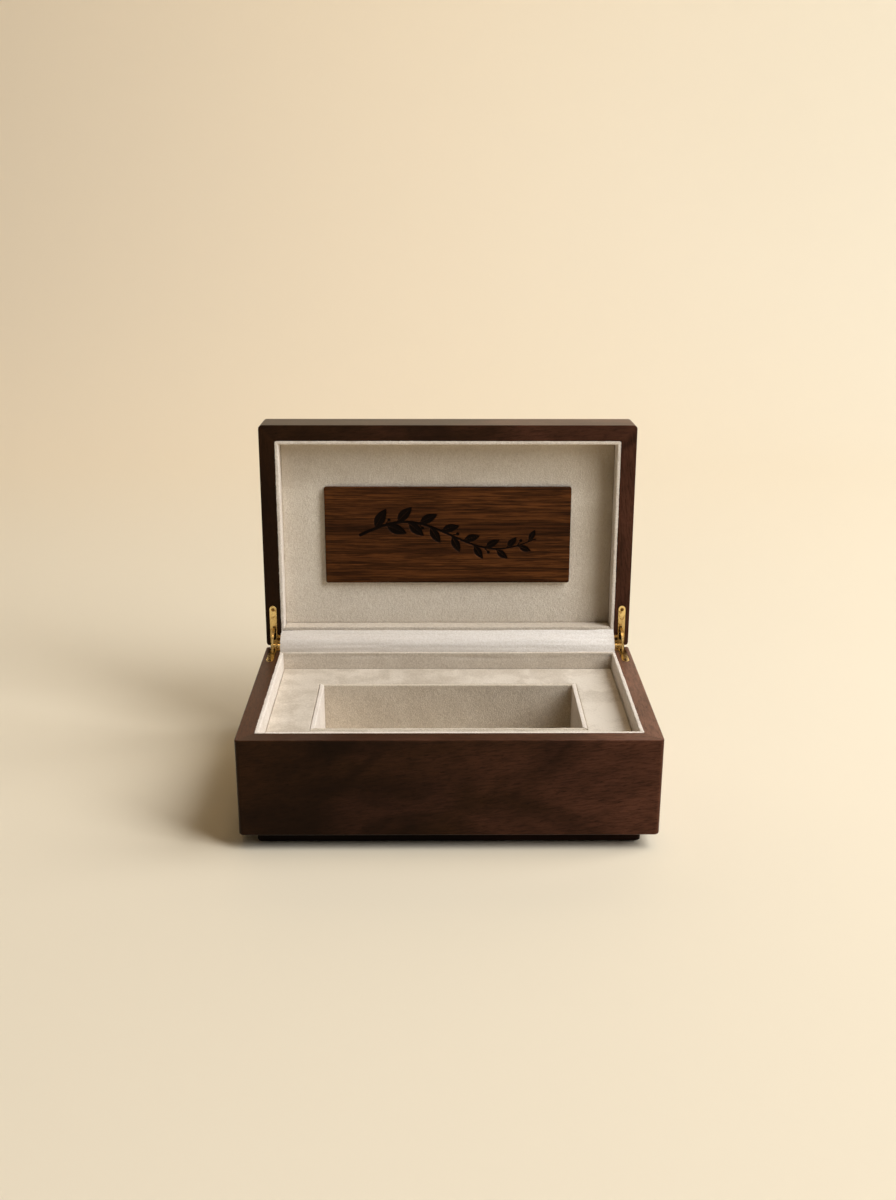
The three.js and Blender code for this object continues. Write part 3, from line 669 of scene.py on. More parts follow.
def edge_lines(low, high, edge, step):
    """Grid lines across a slab, closer together on the rounding at both edges."""
    angles = [math.radians(90 * k / BEAD_STEPS) for k in range(BEAD_STEPS)]
    turns = [edge * (1 - math.cos(angle)) for angle in angles]
    middle = spaced(low + edge, high - edge, step)
    far_side = [high - t for t in reversed(turns)]
    return np.unique([low + t for t in turns] + middle + far_side + [high - edge])


def grid_faces(columns, rows):
    """Faces between the points of a grid, which are counted row by row."""
    return [(k, k + 1, k + columns + 1, k + columns)
            for r in range(rows - 1) for k in range(r * columns, (r + 1) * columns - 1)]


def slab(name, low, high, edge, step, corner, face, look, relief=None, place=Vector):
    """A covered or cut board: its face is a fine grid with rounded edges, its back is plain.

    Face is 1 or -1 where the face is the board's upper or lower side. Relief gives how far the face
    stands back at each place, from its distance to the outline.
    """
    xs = edge_lines(low.x, high.x, edge, step)
    ys = edge_lines(low.y, high.y, edge, step)
    x, y = (grid.ravel() for grid in np.meshgrid(xs, ys))
    centre_x, centre_y = (low.x + high.x) / 2, (low.y + high.y) / 2
    from_x, from_y = x - centre_x, y - centre_y
    reach_x, reach_y = (high.x - low.x) / 2 - corner, (high.y - low.y) / 2 - corner
    over_x = np.maximum(np.abs(from_x) - reach_x, 0)
    over_y = np.maximum(np.abs(from_y) - reach_y, 0)
    over = np.hypot(over_x, over_y)
    pull = np.where(over > corner, corner / np.maximum(over, 1e-9), 1)
    x = np.where(over_x > 0, centre_x + np.sign(from_x) * (reach_x + over_x * pull), x)
    y = np.where(over_y > 0, centre_y + np.sign(from_y) * (reach_y + over_y * pull), y)
    from_x, from_y = np.abs(x - centre_x), np.abs(y - centre_y)
    straight = np.minimum(reach_x + corner - from_x, reach_y + corner - from_y)
    in_corner = (over_x > 0) & (over_y > 0)
    from_edge = np.where(in_corner, np.maximum(corner - over * pull, 0), straight)
    inside = np.clip(edge - from_edge, 0, edge)
    back_by = edge - np.sqrt(np.maximum(edge ** 2 - inside ** 2, 0))
    if relief:
        back_by = back_by + relief(x, y, from_edge)
    front, back = (high.z, low.z) if face > 0 else (low.z, high.z)
    points = [place((px, py, front - face * pz)) for px, py, pz in zip(x, y, back_by)]
    columns, rows = len(xs), len(ys)
    faces = grid_faces(columns, rows)
    rim = [*range(columns), *range(2 * columns - 1, rows * columns, columns)]
    rim += range(rows * columns - 2, (rows - 1) * columns - 1, -1)
    rim += range((rows - 2) * columns, 0, -columns)
    first = len(points)
    points += [place((x[k], y[k], back)) for k in rim]
    for k, here in enumerate(rim):
        after = (k + 1) % len(rim)
        faces.append((here, rim[after], first + after, first + k))
    faces.append(tuple(range(first, first + len(rim))))
    return meshed(name, points, faces, look)


floor_low, floor_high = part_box("recess_floor")
recess_floor = slab("suede_recess_floor", floor_low, floor_high, FLOOR_EDGE, FLOOR_STEP,
                    FLOOR_EDGE, 1, suede_rough)
ruffled(recess_floor, (SWELL_DEPTH, SWELL_SIZE, 5))
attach(recess_floor, "base")
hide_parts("recess_floor")


# Felt under the plinth
# A sheet of dark felt glued under the plinth so that the box doesn't mark a table.
# Its fibres are matted together and lie in small clumps.
FELT_BROWN = (52, 42, 34)
FELT_DARK = (34, 27, 22)
FELT_EDGE = 0.3 * MM
FELT_STEP = 4 * MM
FELT_CORNER = 2.5 * MM
FELT_ROUGHNESS = 0.97
FIBRES = (1300, 5, 0.75, 1.5)
FIBRE_SHARE = 0.7
FIBRE_BUMP, FIBRE_HEIGHT = 0.5, 0.3 * MM
CLUMPS = (160, 3, 0.6)
CLUMP_SHARE = 0.3
CLUMPS_SMOOTH = 0.06


def felt():
    made, nodes = material("dark_felt")
    place = nodes.place()
    fibres = nodes.noise(place, *FIBRES)
    clumps = nodes.noise(place, *CLUMPS)
    colour = nodes.mixed(fibres * FIBRE_SHARE + clumps * CLUMP_SHARE, FELT_DARK, FELT_BROWN)
    normal = nodes.bump(fibres, FIBRE_BUMP, FIBRE_HEIGHT)
    roughness = FELT_ROUGHNESS - clumps * CLUMPS_SMOOTH
    nodes.surface(base_color=colour, roughness=roughness, normal=normal)
    nodes.surface(specular_ior_level=0.1, sheen_weight=0.2, sheen_roughness=0.6)
    return made


felt_low, felt_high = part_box("underside_felt")
felt_sheet = slab("felt_under_plinth", felt_low, felt_high, FELT_EDGE, FELT_STEP, FELT_CORNER, -1,
                  felt())
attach(felt_sheet, "base")
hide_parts("underside_felt")


# Suede lining boards of the lid
# The same wrapped boards line the lid's walls. Their beads frame the padded panel.
# They are drawn as the closed lid holds them, and turned up about the hinge line with it.
LID_FACE_SEEN = 10 * MM
SEAM_ROUNDING = 0.6 * MM

lid_joint = next(j for j in frame["joints"] if j["name"] == "lid_hinge")
HINGE_PLACE = Vector(lid_joint["pos_m"])
OPEN_ANGLE = math.radians(lid_joint["range_deg"][1])
opening_turn = Matrix.Rotation(-OPEN_ANGLE, 3, "X")
closing_turn = Matrix.Rotation(OPEN_ANGLE, 3, "X")


def opened(point):
    """Where a point drawn on the closed lid is once the lid is open."""
    return HINGE_PLACE + opening_turn @ (Vector(point) - HINGE_PLACE)


def closed_box(name):
    """Lowest and highest corner of a node of the lid, as it lies with the lid closed."""
    vertices = frame["nodes"][name].data.vertices
    points = [HINGE_PLACE + closing_turn @ (v.co - HINGE_PLACE) for v in vertices]
    return Vector(map(min, *points)), Vector(map(max, *points))


for side in SIDES:
    box = closed_box(f"lid_lining_{side}")
    rim, foot = box[0].z - FULL_BEAD, box[1].z
    # Painted light: the lid's front and side boards take the paler copy of the suede, a painted
    # sheen.
    rounding, look, fringe = (
        (SEAM_ROUNDING, suede_flat, REAR_FRINGE) if side == "back"
        else (BEAD_ROUNDING, suede_painted_light, FRINGE)
    )
    board = lining_board(f"suede_lid_lining_{side}", side, box, foot, rim, look, rounding,
                         LID_FACE_SEEN, fringe, place=opened)
    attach(board, "lid")
    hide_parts(f"lid_lining_{side}")


# Padded panel of the lid
# Suede stretched over thin foam on a board, pressed into the lined lid. Its face is slightly full.
# The nap is combed upwards, and short strokes of it catch the light. Shade of the lid's walls is
# painted along its top and right side.
PANEL_EDGE = 0.7 * MM
PANEL_STEP = 1.0 * MM
PANEL_FALL = 0.5 * MM
PANEL_FALL_WIDTH = 12 * MM
PANEL_SWELL = 0.16 * MM
PANEL_SWELL_SIZE = 30 * MM
COMBED_PALE = (247, 239, 225)
COMBED_DEEP = (216, 204, 187)
PANEL_PAINTED_SHADE = (155, 136, 111)
PANEL_SHADE_TOP_FROM_TO = (165 * MM, 186 * MM)
PANEL_SHADE_TOP_SHARE = 0.38
PANEL_SHADE_RIGHT_FROM_TO = (76 * MM, 101 * MM)
PANEL_SHADE_RIGHT_SHARE = 0.62
COMB_LEAN = math.radians(-16)
COMB_STRETCH = (1.0, 1.0, 0.45)
COMBED_PATCHES = (48, 4, 0.6, 0.5)
COMBED_PATCH_SHARE = 0.2
COMBED_STROKES = (800, 3, 0.6, 0.7)
COMBED_STROKE_SHARE = 0.3
COMBED_PEBBLES = (1200, 2, 0.6, 0.3)
COMBED_PEBBLE_SHARE = 0.36
COMBED_RELIEF = 0.5
COMBED_BUMP, COMBED_NAP_HEIGHT = 0.9, 0.8 * MM
COMBED_WANDER = (40, 2, 0.5)


def combed_suede():
    """Suede combed upwards in fine short strokes, with shade painted darker along the top and the
    right side.
    """
    made, nodes = material("combed_suede")
    place = nodes.place()
    combed = nodes.stretched(nodes.turned(place, "Y", COMB_LEAN), COMB_STRETCH)
    patches = nodes.mask(place, COMBED_PATCHES, PATCHES_FROM_TO)
    strokes = nodes.noise(combed, *COMBED_STROKES)
    pebbles = nodes.noise(place, *COMBED_PEBBLES)
    tips = pale_tips(nodes, strokes, pebbles, COMBED_STROKE_SHARE, COMBED_PEBBLE_SHARE)
    brushed = nodes.mixed(patches * COMBED_PATCH_SHARE + tips, COMBED_DEEP, COMBED_PALE)
    wander = (nodes.noise(place, *COMBED_WANDER) - 0.5) * WANDER_WIDTH
    # Painted shade: darker along the top and the right side, where the lid's walls cast shade.
    top = nodes.steps(nodes.along("Z", place) + wander, *PANEL_SHADE_TOP_FROM_TO) * PANEL_SHADE_TOP_SHARE
    from_middle = nodes.along("X", place) + wander
    right = nodes.steps(from_middle, *PANEL_SHADE_RIGHT_FROM_TO) * PANEL_SHADE_RIGHT_SHARE
    colour = nodes.mixed(top + right - top * right, brushed, PANEL_PAINTED_SHADE)
    height = strokes * COMBED_RELIEF + pebbles * COMBED_RELIEF
    napped(nodes, colour, pebbles, nodes.bump(height, COMBED_BUMP, COMBED_NAP_HEIGHT))
    return made


def panel_relief(x, y, from_edge):
    """The full face falls away towards its edges."""
    share = np.clip(1 - from_edge / PANEL_FALL_WIDTH, 0, 1)
    return PANEL_FALL * share ** 2


panel_low, panel_high = closed_box("lid_padded_panel")
panel = slab("suede_lid_panel", panel_low, panel_high, PANEL_EDGE, PANEL_STEP, PANEL_EDGE, -1,
             combed_suede(), panel_relief, opened)
ruffled(panel, (PANEL_SWELL, PANEL_SWELL_SIZE, 1), (NAP_DEPTH, NAP_SIZE, 4))
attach(panel, "lid")
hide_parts("lid_padded_panel")


# Walnut plaque with an engraved sprig
# A thin plate of oiled walnut, chamfered all round and glued to the padded panel.
# A leafy sprig is engraved along it, and the cut is burnt dark.
PLAQUE_CHAMFER = 0.5 * MM
PLAQUE_STEP = 0.42 * MM
PLAQUE_CORNER = 1.2 * MM
CUT_DEPTH = 0.55 * MM
CUT_SLOPE = 0.5 * MM
CUT_ROUNDING = 0.8
STEM_REACH = 57 * MM
STEM_RISE = 9.0 * MM
STEM_WAVES = 1.9
STEM_WAVE_MIDDLE = 0.52
STEM_THICK = 1.0 * MM
STEM_THIN = 0.35 * MM
STEM_POINTS = 60
ONWARD_STEP = 0.01
LEAF_COUNT = 15
LEAVES_FROM, LEAVES_SPAN = 0.08, 0.88
LEAF_LONG = 14.5 * MM
LEAF_SHORT = 7.5 * MM
LEAF_STALK = 1.6 * MM
LEAF_RIB = 0.16 * MM
LEAF_FULLNESS = 0.24
LEAF_WIDEST, LEAF_ROUNDING = 0.8, 0.9
LEAF_LEAN = math.radians(38)
BERRY_EVERY = 3
BERRY_RADIUS = 1.0 * MM
BERRY_STALK = 4.2 * MM
BERRY_STALK_THIN = STEM_THIN * 0.8
OILED_BROWN = (102, 60, 29)
OILED_DARK = (60, 33, 16)
OILED_BLACK = (24, 12, 5)
BURNT_BROWN = (13, 6, 3)
OILED_ROUGHNESS = 0.5
BURNT_ROUGHENS, BANDS_ROUGHEN = 0.3, 0.1
BURNT_FROM_TO = (0.15, 0.75)
PLAQUE_GRAIN_STRETCH, PLAQUE_BAND_STRETCH = (0.03, 1, 1), (0.07, 1, 1)
BANDS = (90, 3, 0.55, 0.2)
BANDS_FROM_TO = (0.34, 0.6)
LINES = (420, 3, 0.6, 0.1)
LINES_FROM_TO = (0.46, 0.66)
LINE_SHARE = 0.5
FINE_STREAKS = (1000, 4, 0.7, 0.1)
FINE_STREAKS_FROM_TO = (0.46, 0.56)
FINE_STREAK_SHARE = 0.62
OILED_PORES_FROM_TO = (0.52, 0.66)
OILED_PORE_SHARE = 0.55
PLAQUE_RELIEF = 0.6
PLAQUE_BUMP = 0.25


def stem_place(share):
    """Where the stem is, from its cut end at the left, share 0, to its tip at the right, 1."""
    along = (2 * share - 1) * STEM_REACH
    wave = math.sin(math.pi * STEM_WAVES * (share - STEM_WAVE_MIDDLE))
    return np.array([along, STEM_RISE * wave])


def capsule_depth(places, start, end, start_radius, end_radius):
    """Distance to the edge of a tapered stroke, positive inside it."""
    line = end - start
    share = np.clip(((places - start) @ line) / (line @ line), 0, 1)
    nearest = start + share[:, None] * line
    radius = start_radius + (end_radius - start_radius) * share
    return radius - np.linalg.norm(places - nearest, axis=1)


def leaf_depth(places, root, direction, length):
    """Distance to the edge of a pointed leaf, positive inside it, with its midrib left standing."""
    side = np.array([-direction[1], direction[0]])
    along = ((places - root) @ direction) / length
    across = np.abs((places - root) @ side)
    inside = np.clip(along, 0, 1)
    width = LEAF_FULLNESS * length * np.sin(math.pi * inside ** LEAF_WIDEST) ** LEAF_ROUNDING
    beyond_ends = np.where((along < 0) | (along > 1), -1 * MM, 0)
    return np.minimum(width - across, across - LEAF_RIB * (1 - inside)) + beyond_ends


def sprig_depth(x, y):
    """How far inside the engraved sprig each place lies, negative outside it."""
    places = np.column_stack([x, y])
    stem = [stem_place(k / STEM_POINTS) for k in range(STEM_POINTS + 1)]
    thins_by = (STEM_THIN - STEM_THICK) / STEM_POINTS
    cuts = [capsule_depth(places, stem[k], stem[k + 1], STEM_THICK + thins_by * k,
                          STEM_THICK + thins_by * (k + 1)) for k in range(STEM_POINTS)]
    for k in range(LEAF_COUNT):
        share = LEAVES_FROM + LEAVES_SPAN * k / (LEAF_COUNT - 1)
        root = stem_place(share)
        onward = stem_place(share + ONWARD_STEP) - root
        stem_heading = math.atan2(onward[1], onward[0])
        lean = LEAF_LEAN if k % 2 else -LEAF_LEAN
        leafward, berryward = (
            np.array([math.cos(heading), math.sin(heading)])
            for heading in (stem_heading + lean, stem_heading - lean)
        )
        stalk_end = root + leafward * LEAF_STALK
        length = LEAF_LONG + (LEAF_SHORT - LEAF_LONG) * share
        cuts.append(capsule_depth(places, root, stalk_end, STEM_THIN, STEM_THIN))
        cuts.append(leaf_depth(places, stalk_end, leafward, length))
        if k % BERRY_EVERY == 1:
            berry = root + berryward * BERRY_STALK
            cuts.append(capsule_depth(places, root, berry, BERRY_STALK_THIN, BERRY_STALK_THIN))
            cuts.append(BERRY_RADIUS - np.linalg.norm(places - berry, axis=1))
    return np.max(cuts, axis=0)


plaque_low, plaque_high = closed_box("wood_plaque")
plaque_middle = (plaque_low + plaque_high) / 2
cut_shares = []


def plaque_relief(x, y, from_edge):
    """How deep the sprig is cut at each place. Its shares are kept for the cut's burnt tone."""
    inside = sprig_depth(x - plaque_middle.x, y - plaque_middle.y)
    cut_shares[:] = np.clip(inside / CUT_SLOPE + 0.5, 0, 1)
    return CUT_DEPTH * np.array(cut_shares) ** CUT_ROUNDING


def plaque_walnut():
    made, nodes = material("oiled_walnut")
    place = nodes.place()
    grain_space = nodes.stretched(place, PLAQUE_GRAIN_STRETCH)
    bands = nodes.noise(nodes.stretched(place, PLAQUE_BAND_STRETCH), *BANDS)
    lines = nodes.mask(grain_space, LINES, LINES_FROM_TO)
    streaks = nodes.noise(grain_space, *FINE_STREAKS)
    dark_streaks = nodes.steps(streaks, *FINE_STREAKS_FROM_TO)
    pores = nodes.mask(grain_space, PORES, OILED_PORES_FROM_TO)
    base = nodes.mixed(nodes.steps(bands, *BANDS_FROM_TO), OILED_DARK, OILED_BROWN)
    lined = nodes.mixed(lines * LINE_SHARE, base, OILED_BLACK)
    streaked = nodes.mixed(dark_streaks * FINE_STREAK_SHARE, lined, OILED_BLACK)
    grained = nodes.mixed(pores * OILED_PORE_SHARE, streaked, OILED_BLACK)
    burnt = nodes.add("Attribute", {"attribute_name": "burnt"}, output="Fac")
    colour = nodes.mixed(nodes.steps(burnt, *BURNT_FROM_TO), grained, BURNT_BROWN)
    height = streaks * PLAQUE_RELIEF - pores * PLAQUE_RELIEF
    normal = nodes.bump(height, PLAQUE_BUMP, GRAIN_DEPTH)
    roughness = OILED_ROUGHNESS + burnt * BURNT_ROUGHENS + (bands - 0.5) * BANDS_ROUGHEN
    nodes.surface(base_color=colour, roughness=roughness, normal=normal, specular_ior_level=0.05)
    return made


plaque = slab("engraved_plaque", plaque_low, plaque_high, PLAQUE_CHAMFER, PLAQUE_STEP,
              PLAQUE_CORNER, -1, plaque_walnut(), plaque_relief, opened)
burnt = plaque.data.attributes.new("burnt", "FLOAT", "POINT")
shares = np.zeros(len(plaque.data.vertices), np.float32)
shares[:len(cut_shares)] = cut_shares
burnt.data.foreach_set("value", shares)
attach(plaque, "lid")
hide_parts("wood_plaque")


# Suede flap behind the hinge line
# One strip of suede bridges the gap between the lid and the base, glued under the lining of each.
# It is drawn stretched, as it lies with the lid open, over a soft crease.
FLAP_THICKNESS = 0.8 * MM
FLAP_STEP = 0.6 * MM
FLAP_STATION = 1.2 * MM
FLAP_ROOT = Vector((0, -10.9, -0.6)) * MM
FLAP_RIDGE = Vector((0, -8.5, 6.4)) * MM
FLAP_SEAM = Vector((0, 0.4, 10.85)) * MM
UNDER_BASE_LINING = [(0, -8.6, -0.85), (0, -9.8, -0.8)]
INSIDE_LID = [(0, 0.45, 10.1), (0, 0.85, 9.65), (0, 2.0, 9.6), (0, 3.5, 9.6)]
UNCREASED_SHARE = 0.4
CREASE_LEAST = 0.35
CREASE_VARIES = 0.12
CREASE_ROUND = 2.4 * MM
CREASE_STEP = 0.14
CREASE_WAVE = 28 * MM
FLAP_FADE = 42 * MM
SAG_RISE = 0.7 * MM
SAG_LENGTH = 20 * MM
FLAP_SWELL, FLAP_SWELL_SIZE = 0.1 * MM, 14 * MM
FLAP_WRINKLE, FLAP_WRINKLE_SIZE = 0.35 * MM, (30 * MM, 2.2 * MM, 2.2 * MM)
FLAP_SHEEN_PALE = (249, 245, 240)
FLAP_SHEEN_DEEP = (225, 218, 209)
FLAP_PAINTED_SHADE = (190, 176, 159)
FLAP_SHADE_LEFT_FROM_TO = (100 * MM, -100 * MM)
FLAP_SHADE_LEFT_SHARE, FLAP_SHADE_BELOW_SHARE = 0.36, 0.22
FLAP_STRETCH = (0.6, 1.0, 1.0)
FLAP_STROKES = (760, 3, 0.6, 0.5)
FLAP_STROKE_SHARE, FLAP_STROKE_RELIEF = 0.25, 0.3
FLAP_PEBBLES = (1050, 2, 0.6, 0.3)
FLAP_PEBBLE_SHARE, FLAP_PEBBLE_RELIEF = 0.5, 0.5
FLAP_PAINTED_SHEEN = 0.15
FLAP_BUMP, FLAP_NAP_HEIGHT = 0.45, 0.7 * MM

flap_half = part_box("base_rim_strip")[1].x


def flap_line(x):
    """The flap's middle line at one place across the box, from the base lining into the lid."""
    root, seam = HINGE_PLACE + FLAP_ROOT, HINGE_PLACE + FLAP_SEAM
    seam.z += SAG_RISE * max(0, 1 - (flap_half - x) / SAG_LENGTH) ** 2
    fade = min(1, (flap_half - x) / FLAP_FADE)
    varied = 1 + CREASE_VARIES * noise.noise(Vector((x / CREASE_WAVE, 0, 0)))
    firm = (CREASE_LEAST + (1 - CREASE_LEAST) * fade) * varied
    uncreased = root + (seam - root) * UNCREASED_SHARE
    ridge = uncreased + (HINGE_PLACE + FLAP_RIDGE - uncreased) * firm
    before = ridge + (root - ridge).normalized() * CREASE_ROUND
    after = ridge + (seam - ridge).normalized() * CREASE_ROUND
    lower = [root + (before - root) * share
             for share in spaced(0, 1, FLAP_STEP / (before - root).length)]
    bend = [before * (1 - t) ** 2 + ridge * 2 * t * (1 - t) + after * t ** 2
            for t in spaced(0, 1, CREASE_STEP)]
    upper = [after + (seam - after) * share
             for share in spaced(0, 1, FLAP_STEP / (seam - after).length)]
    into_base, into_lid = (
        [HINGE_PLACE + Vector(point) * MM for point in ends]
        for ends in (UNDER_BASE_LINING, INSIDE_LID)
    )
    line = [*into_base, *lower, *bend, *upper, seam, *into_lid]
    return [Vector((x, point.y, point.z)) for point in line]


def evened(line, count):
    """The same line with that many points at even distances."""
    lengths = np.cumsum([0, *((b - a).length for a, b in zip(line, line[1:]))])
    places = np.linspace(0, lengths[-1], count)
    axes = [np.interp(places, lengths, [p[axis] for p in line]) for axis in range(3)]
    return [Vector(p) for p in zip(*axes)]


def flap_ring(x):
    """A closed ring of points round the flap's edge-on outline at one place across the box."""
    line = evened(flap_line(x), flap_count)
    upper, lower = [], []
    for k, point in enumerate(line):
        tangent = line[min(k + 1, len(line) - 1)] - line[max(k - 1, 0)]
        out = Vector((0, -tangent.z, tangent.y)).normalized() * FLAP_THICKNESS / 2
        upper.append(point + out)
        lower.append(point - out)
    return upper + lower[::-1]


def flap_suede():
    """Soft suede painted paler than the linings as a sheen, with shade painted in below its crease
    and towards the left.
    """
    made, nodes = material("flap_suede")
    place = nodes.place()
    strokes = nodes.noise(nodes.stretched(place, FLAP_STRETCH), *FLAP_STROKES)
    pebbles = nodes.noise(place, *FLAP_PEBBLES)
    tips = pale_tips(nodes, strokes, pebbles, FLAP_STROKE_SHARE, FLAP_PEBBLE_SHARE)
    # Painted sheen: the flap's pale colours and the added paleness paint the light's sheen on its
    # nap.
    brushed = nodes.mixed(tips + FLAP_PAINTED_SHEEN, FLAP_SHEEN_DEEP, FLAP_SHEEN_PALE)
    # Painted shade: darker towards the left, away from the lamps, and below the crease.
    to_left = nodes.steps(nodes.along("X", place), *FLAP_SHADE_LEFT_FROM_TO)
    ridge_height, root_height = (HINGE_PLACE.z + part.z for part in (FLAP_RIDGE, FLAP_ROOT))
    below = nodes.steps(nodes.along("Z", place), ridge_height, root_height)
    flap_shade = to_left * FLAP_SHADE_LEFT_SHARE + below * FLAP_SHADE_BELOW_SHARE
    colour = nodes.mixed(flap_shade, brushed, FLAP_PAINTED_SHADE)
    height = strokes * FLAP_STROKE_RELIEF + pebbles * FLAP_PEBBLE_RELIEF
    napped(nodes, colour, pebbles, nodes.bump(height, FLAP_BUMP, FLAP_NAP_HEIGHT))
    return made


middle_line = flap_line(0)
flap_length = sum((b - a).length for a, b in zip(middle_line, middle_line[1:]))
flap_count = round(flap_length / FLAP_STEP)
flap_stations = [*spaced(-flap_half, flap_half, FLAP_STATION), flap_half]
flap = lofted("suede_hinge_flap", [flap_ring(x) for x in flap_stations], flap_suede())
ruffled(flap, (FLAP_SWELL, FLAP_SWELL_SIZE, 9), (FLAP_WRINKLE, FLAP_WRINKLE_SIZE, 4),
        (NAP_DEPTH, NAP_SIZE, 6))
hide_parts("base_rim_strip", "lid_rim_strip")
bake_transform(flap)


# Brass stay hinges
# A pair of cast and polished brass hinges with curved stays, let into the side rims and screwed.
# The lid's leaves are bright, and the other parts are darker copies of the same brass, painted
# shade and reflection. All darken towards the knuckles, painted shade where the lid meets the base.
LEAF_BRIGHT, LEAF_DEEP = (242, 214, 148), (166, 126, 68)
LOWER_BRIGHT, LOWER_DEEP = (248, 220, 156), (122, 90, 48)
STAY_BRIGHT, STAY_DEEP = (236, 204, 140), (96, 70, 38)
SCREW_BRIGHT, SCREW_DEEP = (134, 100, 54), (56, 39, 20)
NEAR_LINE_FROM_TO = (26 * MM, 9 * MM)
NEAR_LINE_SHARE = 0.5
POLISH = (2600, 3, 0.6)
POLISH_STRETCH = (1, 1, 0.15)
TARNISH = (320, 3, 0.6, 0.8)
TARNISH_WIDTH = 0.22
TARNISH_ROUGH_FROM_TO = (0.4, 0.8)
BRASS_ROUGHNESS = 0.15
TARNISH_ROUGHENS, POLISH_ROUGHENS = 0.18, 0.08
WAVES = (150, 2, 0.5)
POLISH_RELIEF, TARNISH_RELIEF = 0.08, 0.12
BRASS_BUMP, BRASS_WAVE_HEIGHT = 0.5, 0.5 * MM


def brass(name, bright, deep, first_dark):
    """Lacquered brass with fine polishing lines, tarnished where its noise is above first_dark."""
    made, nodes = material(name)
    place = nodes.place()
    polish = nodes.noise(nodes.stretched(place, POLISH_STRETCH), *POLISH)
    tarnish = nodes.noise(place, *TARNISH)
    waves = nodes.noise(place, *WAVES)
    in_section = nodes.stretched(place, (0, 1, 1))
    hinge_line = (0, HINGE_PLACE.y, HINGE_PLACE.z)
    from_line = nodes.add("VectorMath", {"operation": "DISTANCE"},
                          {0: in_section, 1: hinge_line}, "Value")
    tarnished = nodes.steps(tarnish, first_dark, first_dark + TARNISH_WIDTH)
    # Painted shade: the brass is painted darker towards the hinge line, where the lid meets the
    # base.
    near_line = nodes.steps(from_line, *NEAR_LINE_FROM_TO) * NEAR_LINE_SHARE
    colour = nodes.mixed(tarnished + near_line - tarnished * near_line, bright, deep)
    dulled = nodes.steps(tarnish, *TARNISH_ROUGH_FROM_TO) * TARNISH_ROUGHENS
    roughness = BRASS_ROUGHNESS + dulled + polish * POLISH_ROUGHENS
    height = waves + polish * POLISH_RELIEF + tarnish * TARNISH_RELIEF
    normal = nodes.bump(height, BRASS_BUMP, BRASS_WAVE_HEIGHT)
    nodes.surface(base_color=colour, roughness=roughness, normal=normal, metallic=1.0)
    return made


# Painted shade and reflection: the lower leaves, stays, pins and screws are darker copies of the
# lid leaves' brass.
stay_brass = brass("deeper_brass_painted_shade", STAY_BRIGHT, STAY_DEEP, 0.42)
BRASS_PARTS = {
    "lid_leaf": brass("polished_brass", LEAF_BRIGHT, LEAF_DEEP, 0.5),
    "base_leaf": brass("lower_brass_painted_shade", LOWER_BRIGHT, LOWER_DEEP, 0.49),
    "screw": brass("screw_brass_painted_shade", SCREW_BRIGHT, SCREW_DEEP, 0.42),
    "stay": stay_brass,
    "pin": stay_brass,
}
for part, look in BRASS_PARTS.items():
    for name in frame["nodes"]:
        if name.startswith("hinge_") and name.endswith(part):
            finished(name, look)


# Paper sweep and lights
# The box stands on a sheet of cream paper that curves up behind it without a line.
# Two tall soft windows stand to the right, and a weak warm lamp hangs overhead.
PAPER_CREAM = (234, 224, 203)
PAPER_SHADE = (228, 216, 192)
PAPER_PAINTED_LIGHT = (246, 231, 205)
SEEN_COLOUR = (239, 226, 200)
SEEN_STRENGTH = 0.9
PAPER_WIDTH = 5.0
PAPER_FRONT = -3.0
PAPER_BACK = 1.7
PAPER_CURVE = 0.8
PAPER_TOP = 2.4
PAPER_STEP = 0.15
CURVE_STEPS = 24
TOOTH = (900, 3, 0.6)
TOOTH_BUMP, TOOTH_HEIGHT = 0.05, 0.2 * MM
PAPER_CLOUDS = (1.3, 2, 0.5)
PAPER_CLOUDS_FROM_TO = (0.3, 0.7)
PAPER_CLOUD_SHARE = 0.25
WARM_BACK_FROM_TO = (0.25, 1.2)
WARM_LEFT_FROM_TO = (0.9, -0.3)
SIDE_FADE_FROM_TO = (1.1, 2.2)
FRONT_FADE_FROM_TO = (-0.8, -2.2)
TARGET = Vector((0, 0, 0.08))
LAMP_DISTANCE = 3.0
# A lamp's angle to the right and its angle of height in degrees, width, height, watts and colour.
LAMPS = {
    "near_window": (60, 44, 1.1, 2.6, 82, (1.0, 1.0, 1.0)),
    "far_window": (98, 44, 1.1, 2.6, 39, (1.0, 1.0, 1.0)),
    "overhead_lamp": (70, 89, 1.1, 1.1, 13, (1.0, 0.72, 0.42)),
}


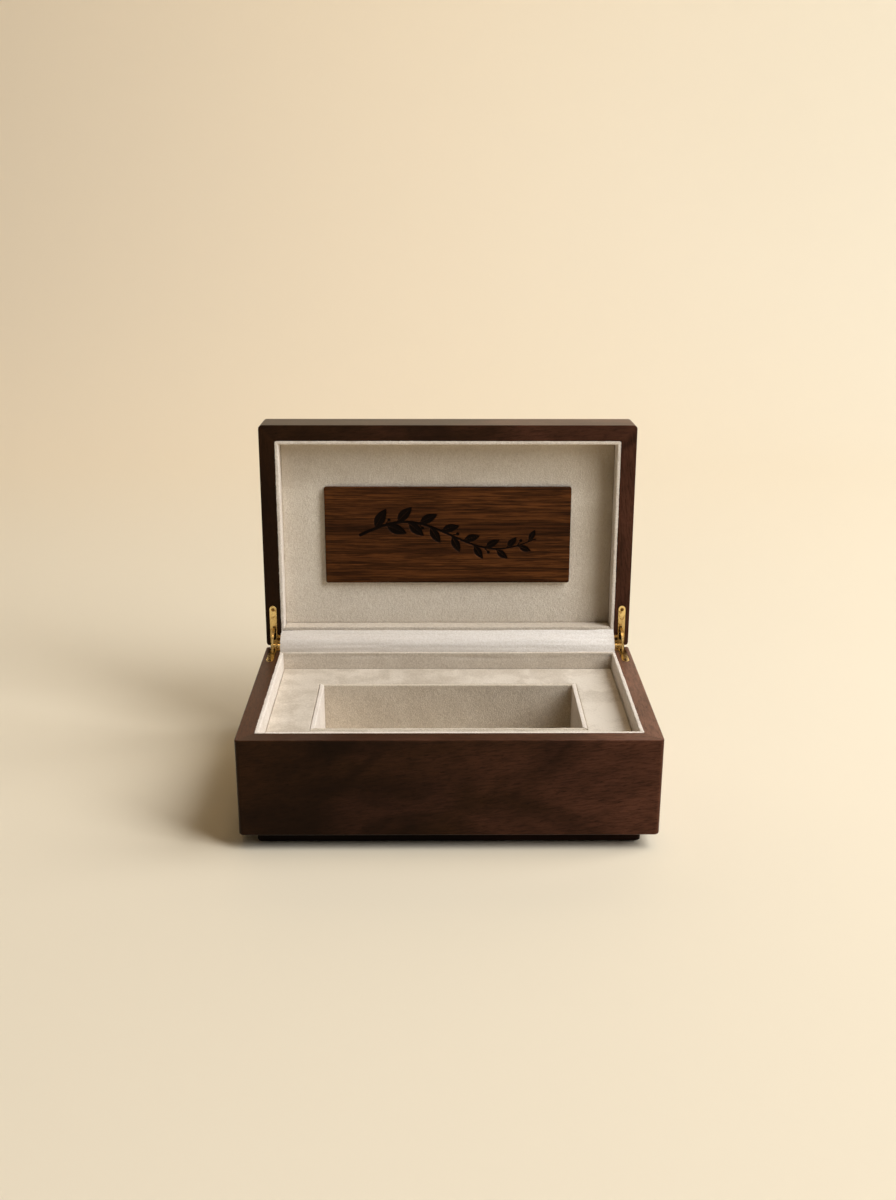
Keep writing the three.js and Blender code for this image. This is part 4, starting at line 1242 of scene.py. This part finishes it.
def cream_paper():
    """Paper with a fine tooth. Far from the box the camera sees it as the room's plain tone."""
    made, nodes = material("cream_paper")
    place = nodes.place()
    across, deep = nodes.along("X", place), nodes.along("Y", place)
    clouds = nodes.mask(place, PAPER_CLOUDS, PAPER_CLOUDS_FROM_TO)
    tone = nodes.mixed(clouds * PAPER_CLOUD_SHARE, PAPER_CREAM, PAPER_SHADE)
    # Painted light: towards the back and the left the paper is painted lighter and warmer, where
    # the lamps at the right reach it less.
    far_back = nodes.steps(deep, *WARM_BACK_FROM_TO)
    far_left = nodes.steps(across, *WARM_LEFT_FROM_TO)
    colour = nodes.mixed(far_back * far_left, tone, PAPER_PAINTED_LIGHT)
    normal = nodes.bump(nodes.noise(place, *TOOTH), TOOTH_BUMP, TOOTH_HEIGHT)
    nodes.surface(base_color=colour, normal=normal, roughness=0.85, specular_ior_level=0.1)
    to_side = nodes.steps(nodes.size_of(across), *SIDE_FADE_FROM_TO)
    to_front = nodes.steps(deep, *FRONT_FADE_FROM_TO)
    faded = 1 - (1 - to_side) * (1 - to_front)
    seen = nodes.add("LightPath", output="Is Camera Ray")
    lit = Value(nodes, nodes.tree.nodes["Principled BSDF"].outputs[0])
    plain = nodes.add("Emission", {}, {"Color": shade(SEEN_COLOUR), "Strength": SEEN_STRENGTH})
    whole = nodes.add("MixShader", {}, {0: faded * seen, 1: lit, 2: plain})
    nodes.join(nodes.tree.nodes["Material Output"].inputs["Surface"], whole)
    return made


curve_front = PAPER_BACK - PAPER_CURVE
curve_turns = [math.radians(90 * k / CURVE_STEPS) for k in range(CURVE_STEPS + 1)]
sweep_line = [
    *((y, 0) for y in spaced(PAPER_FRONT, curve_front, PAPER_STEP)),
    *((curve_front + PAPER_CURVE * math.sin(turn), PAPER_CURVE * (1 - math.cos(turn)))
      for turn in curve_turns),
    (PAPER_BACK, PAPER_TOP),
]
sweep_sides = [-PAPER_WIDTH / 2, 0, PAPER_WIDTH / 2]
sweep_points = [(x, y, z) for y, z in sweep_line for x in sweep_sides]
sweep_faces = grid_faces(len(sweep_sides), len(sweep_line))
sweep = meshed("paper_sweep", sweep_points, sweep_faces, cream_paper())

for name, (side_deg, lift_deg, wide, tall, watts, colour) in LAMPS.items():
    side, lift = math.radians(side_deg), math.radians(lift_deg)
    level_part = math.cos(lift)
    toward = Vector((math.sin(side) * level_part, -math.cos(side) * level_part, math.sin(lift)))
    light = bpy.data.lights.new(name, "AREA")
    light.shape = "RECTANGLE"
    light.size = wide
    light.size_y = tall
    light.energy = watts
    light.color = colour
    stand = bpy.data.objects.new(name, light)
    stand.location = TARGET + toward * LAMP_DISTANCE
    stand.rotation_euler = toward.to_track_quat("Z", "Y").to_euler()
    bpy.context.scene.collection.objects.link(stand)

world = bpy.data.worlds.new("room")
world.use_nodes = True
world.node_tree.nodes.clear()
room = Nodes(world.node_tree)
seen, mirrored, through = (
    room.add("LightPath", output=f"Is {ray} Ray") for ray in ("Camera", "Glossy", "Transmission")
)
dark = room.add("Background", {}, {"Color": shade(SEEN_COLOUR), "Strength": 0.0})
backdrop = room.add("Background", {}, {"Color": shade(SEEN_COLOUR), "Strength": SEEN_STRENGTH})
shown = room.add("MixShader", {}, {0: seen + mirrored + through, 1: dark, 2: backdrop})
room.add("OutputWorld", {}, {"Surface": shown}, output=None)
bpy.context.scene.world = world
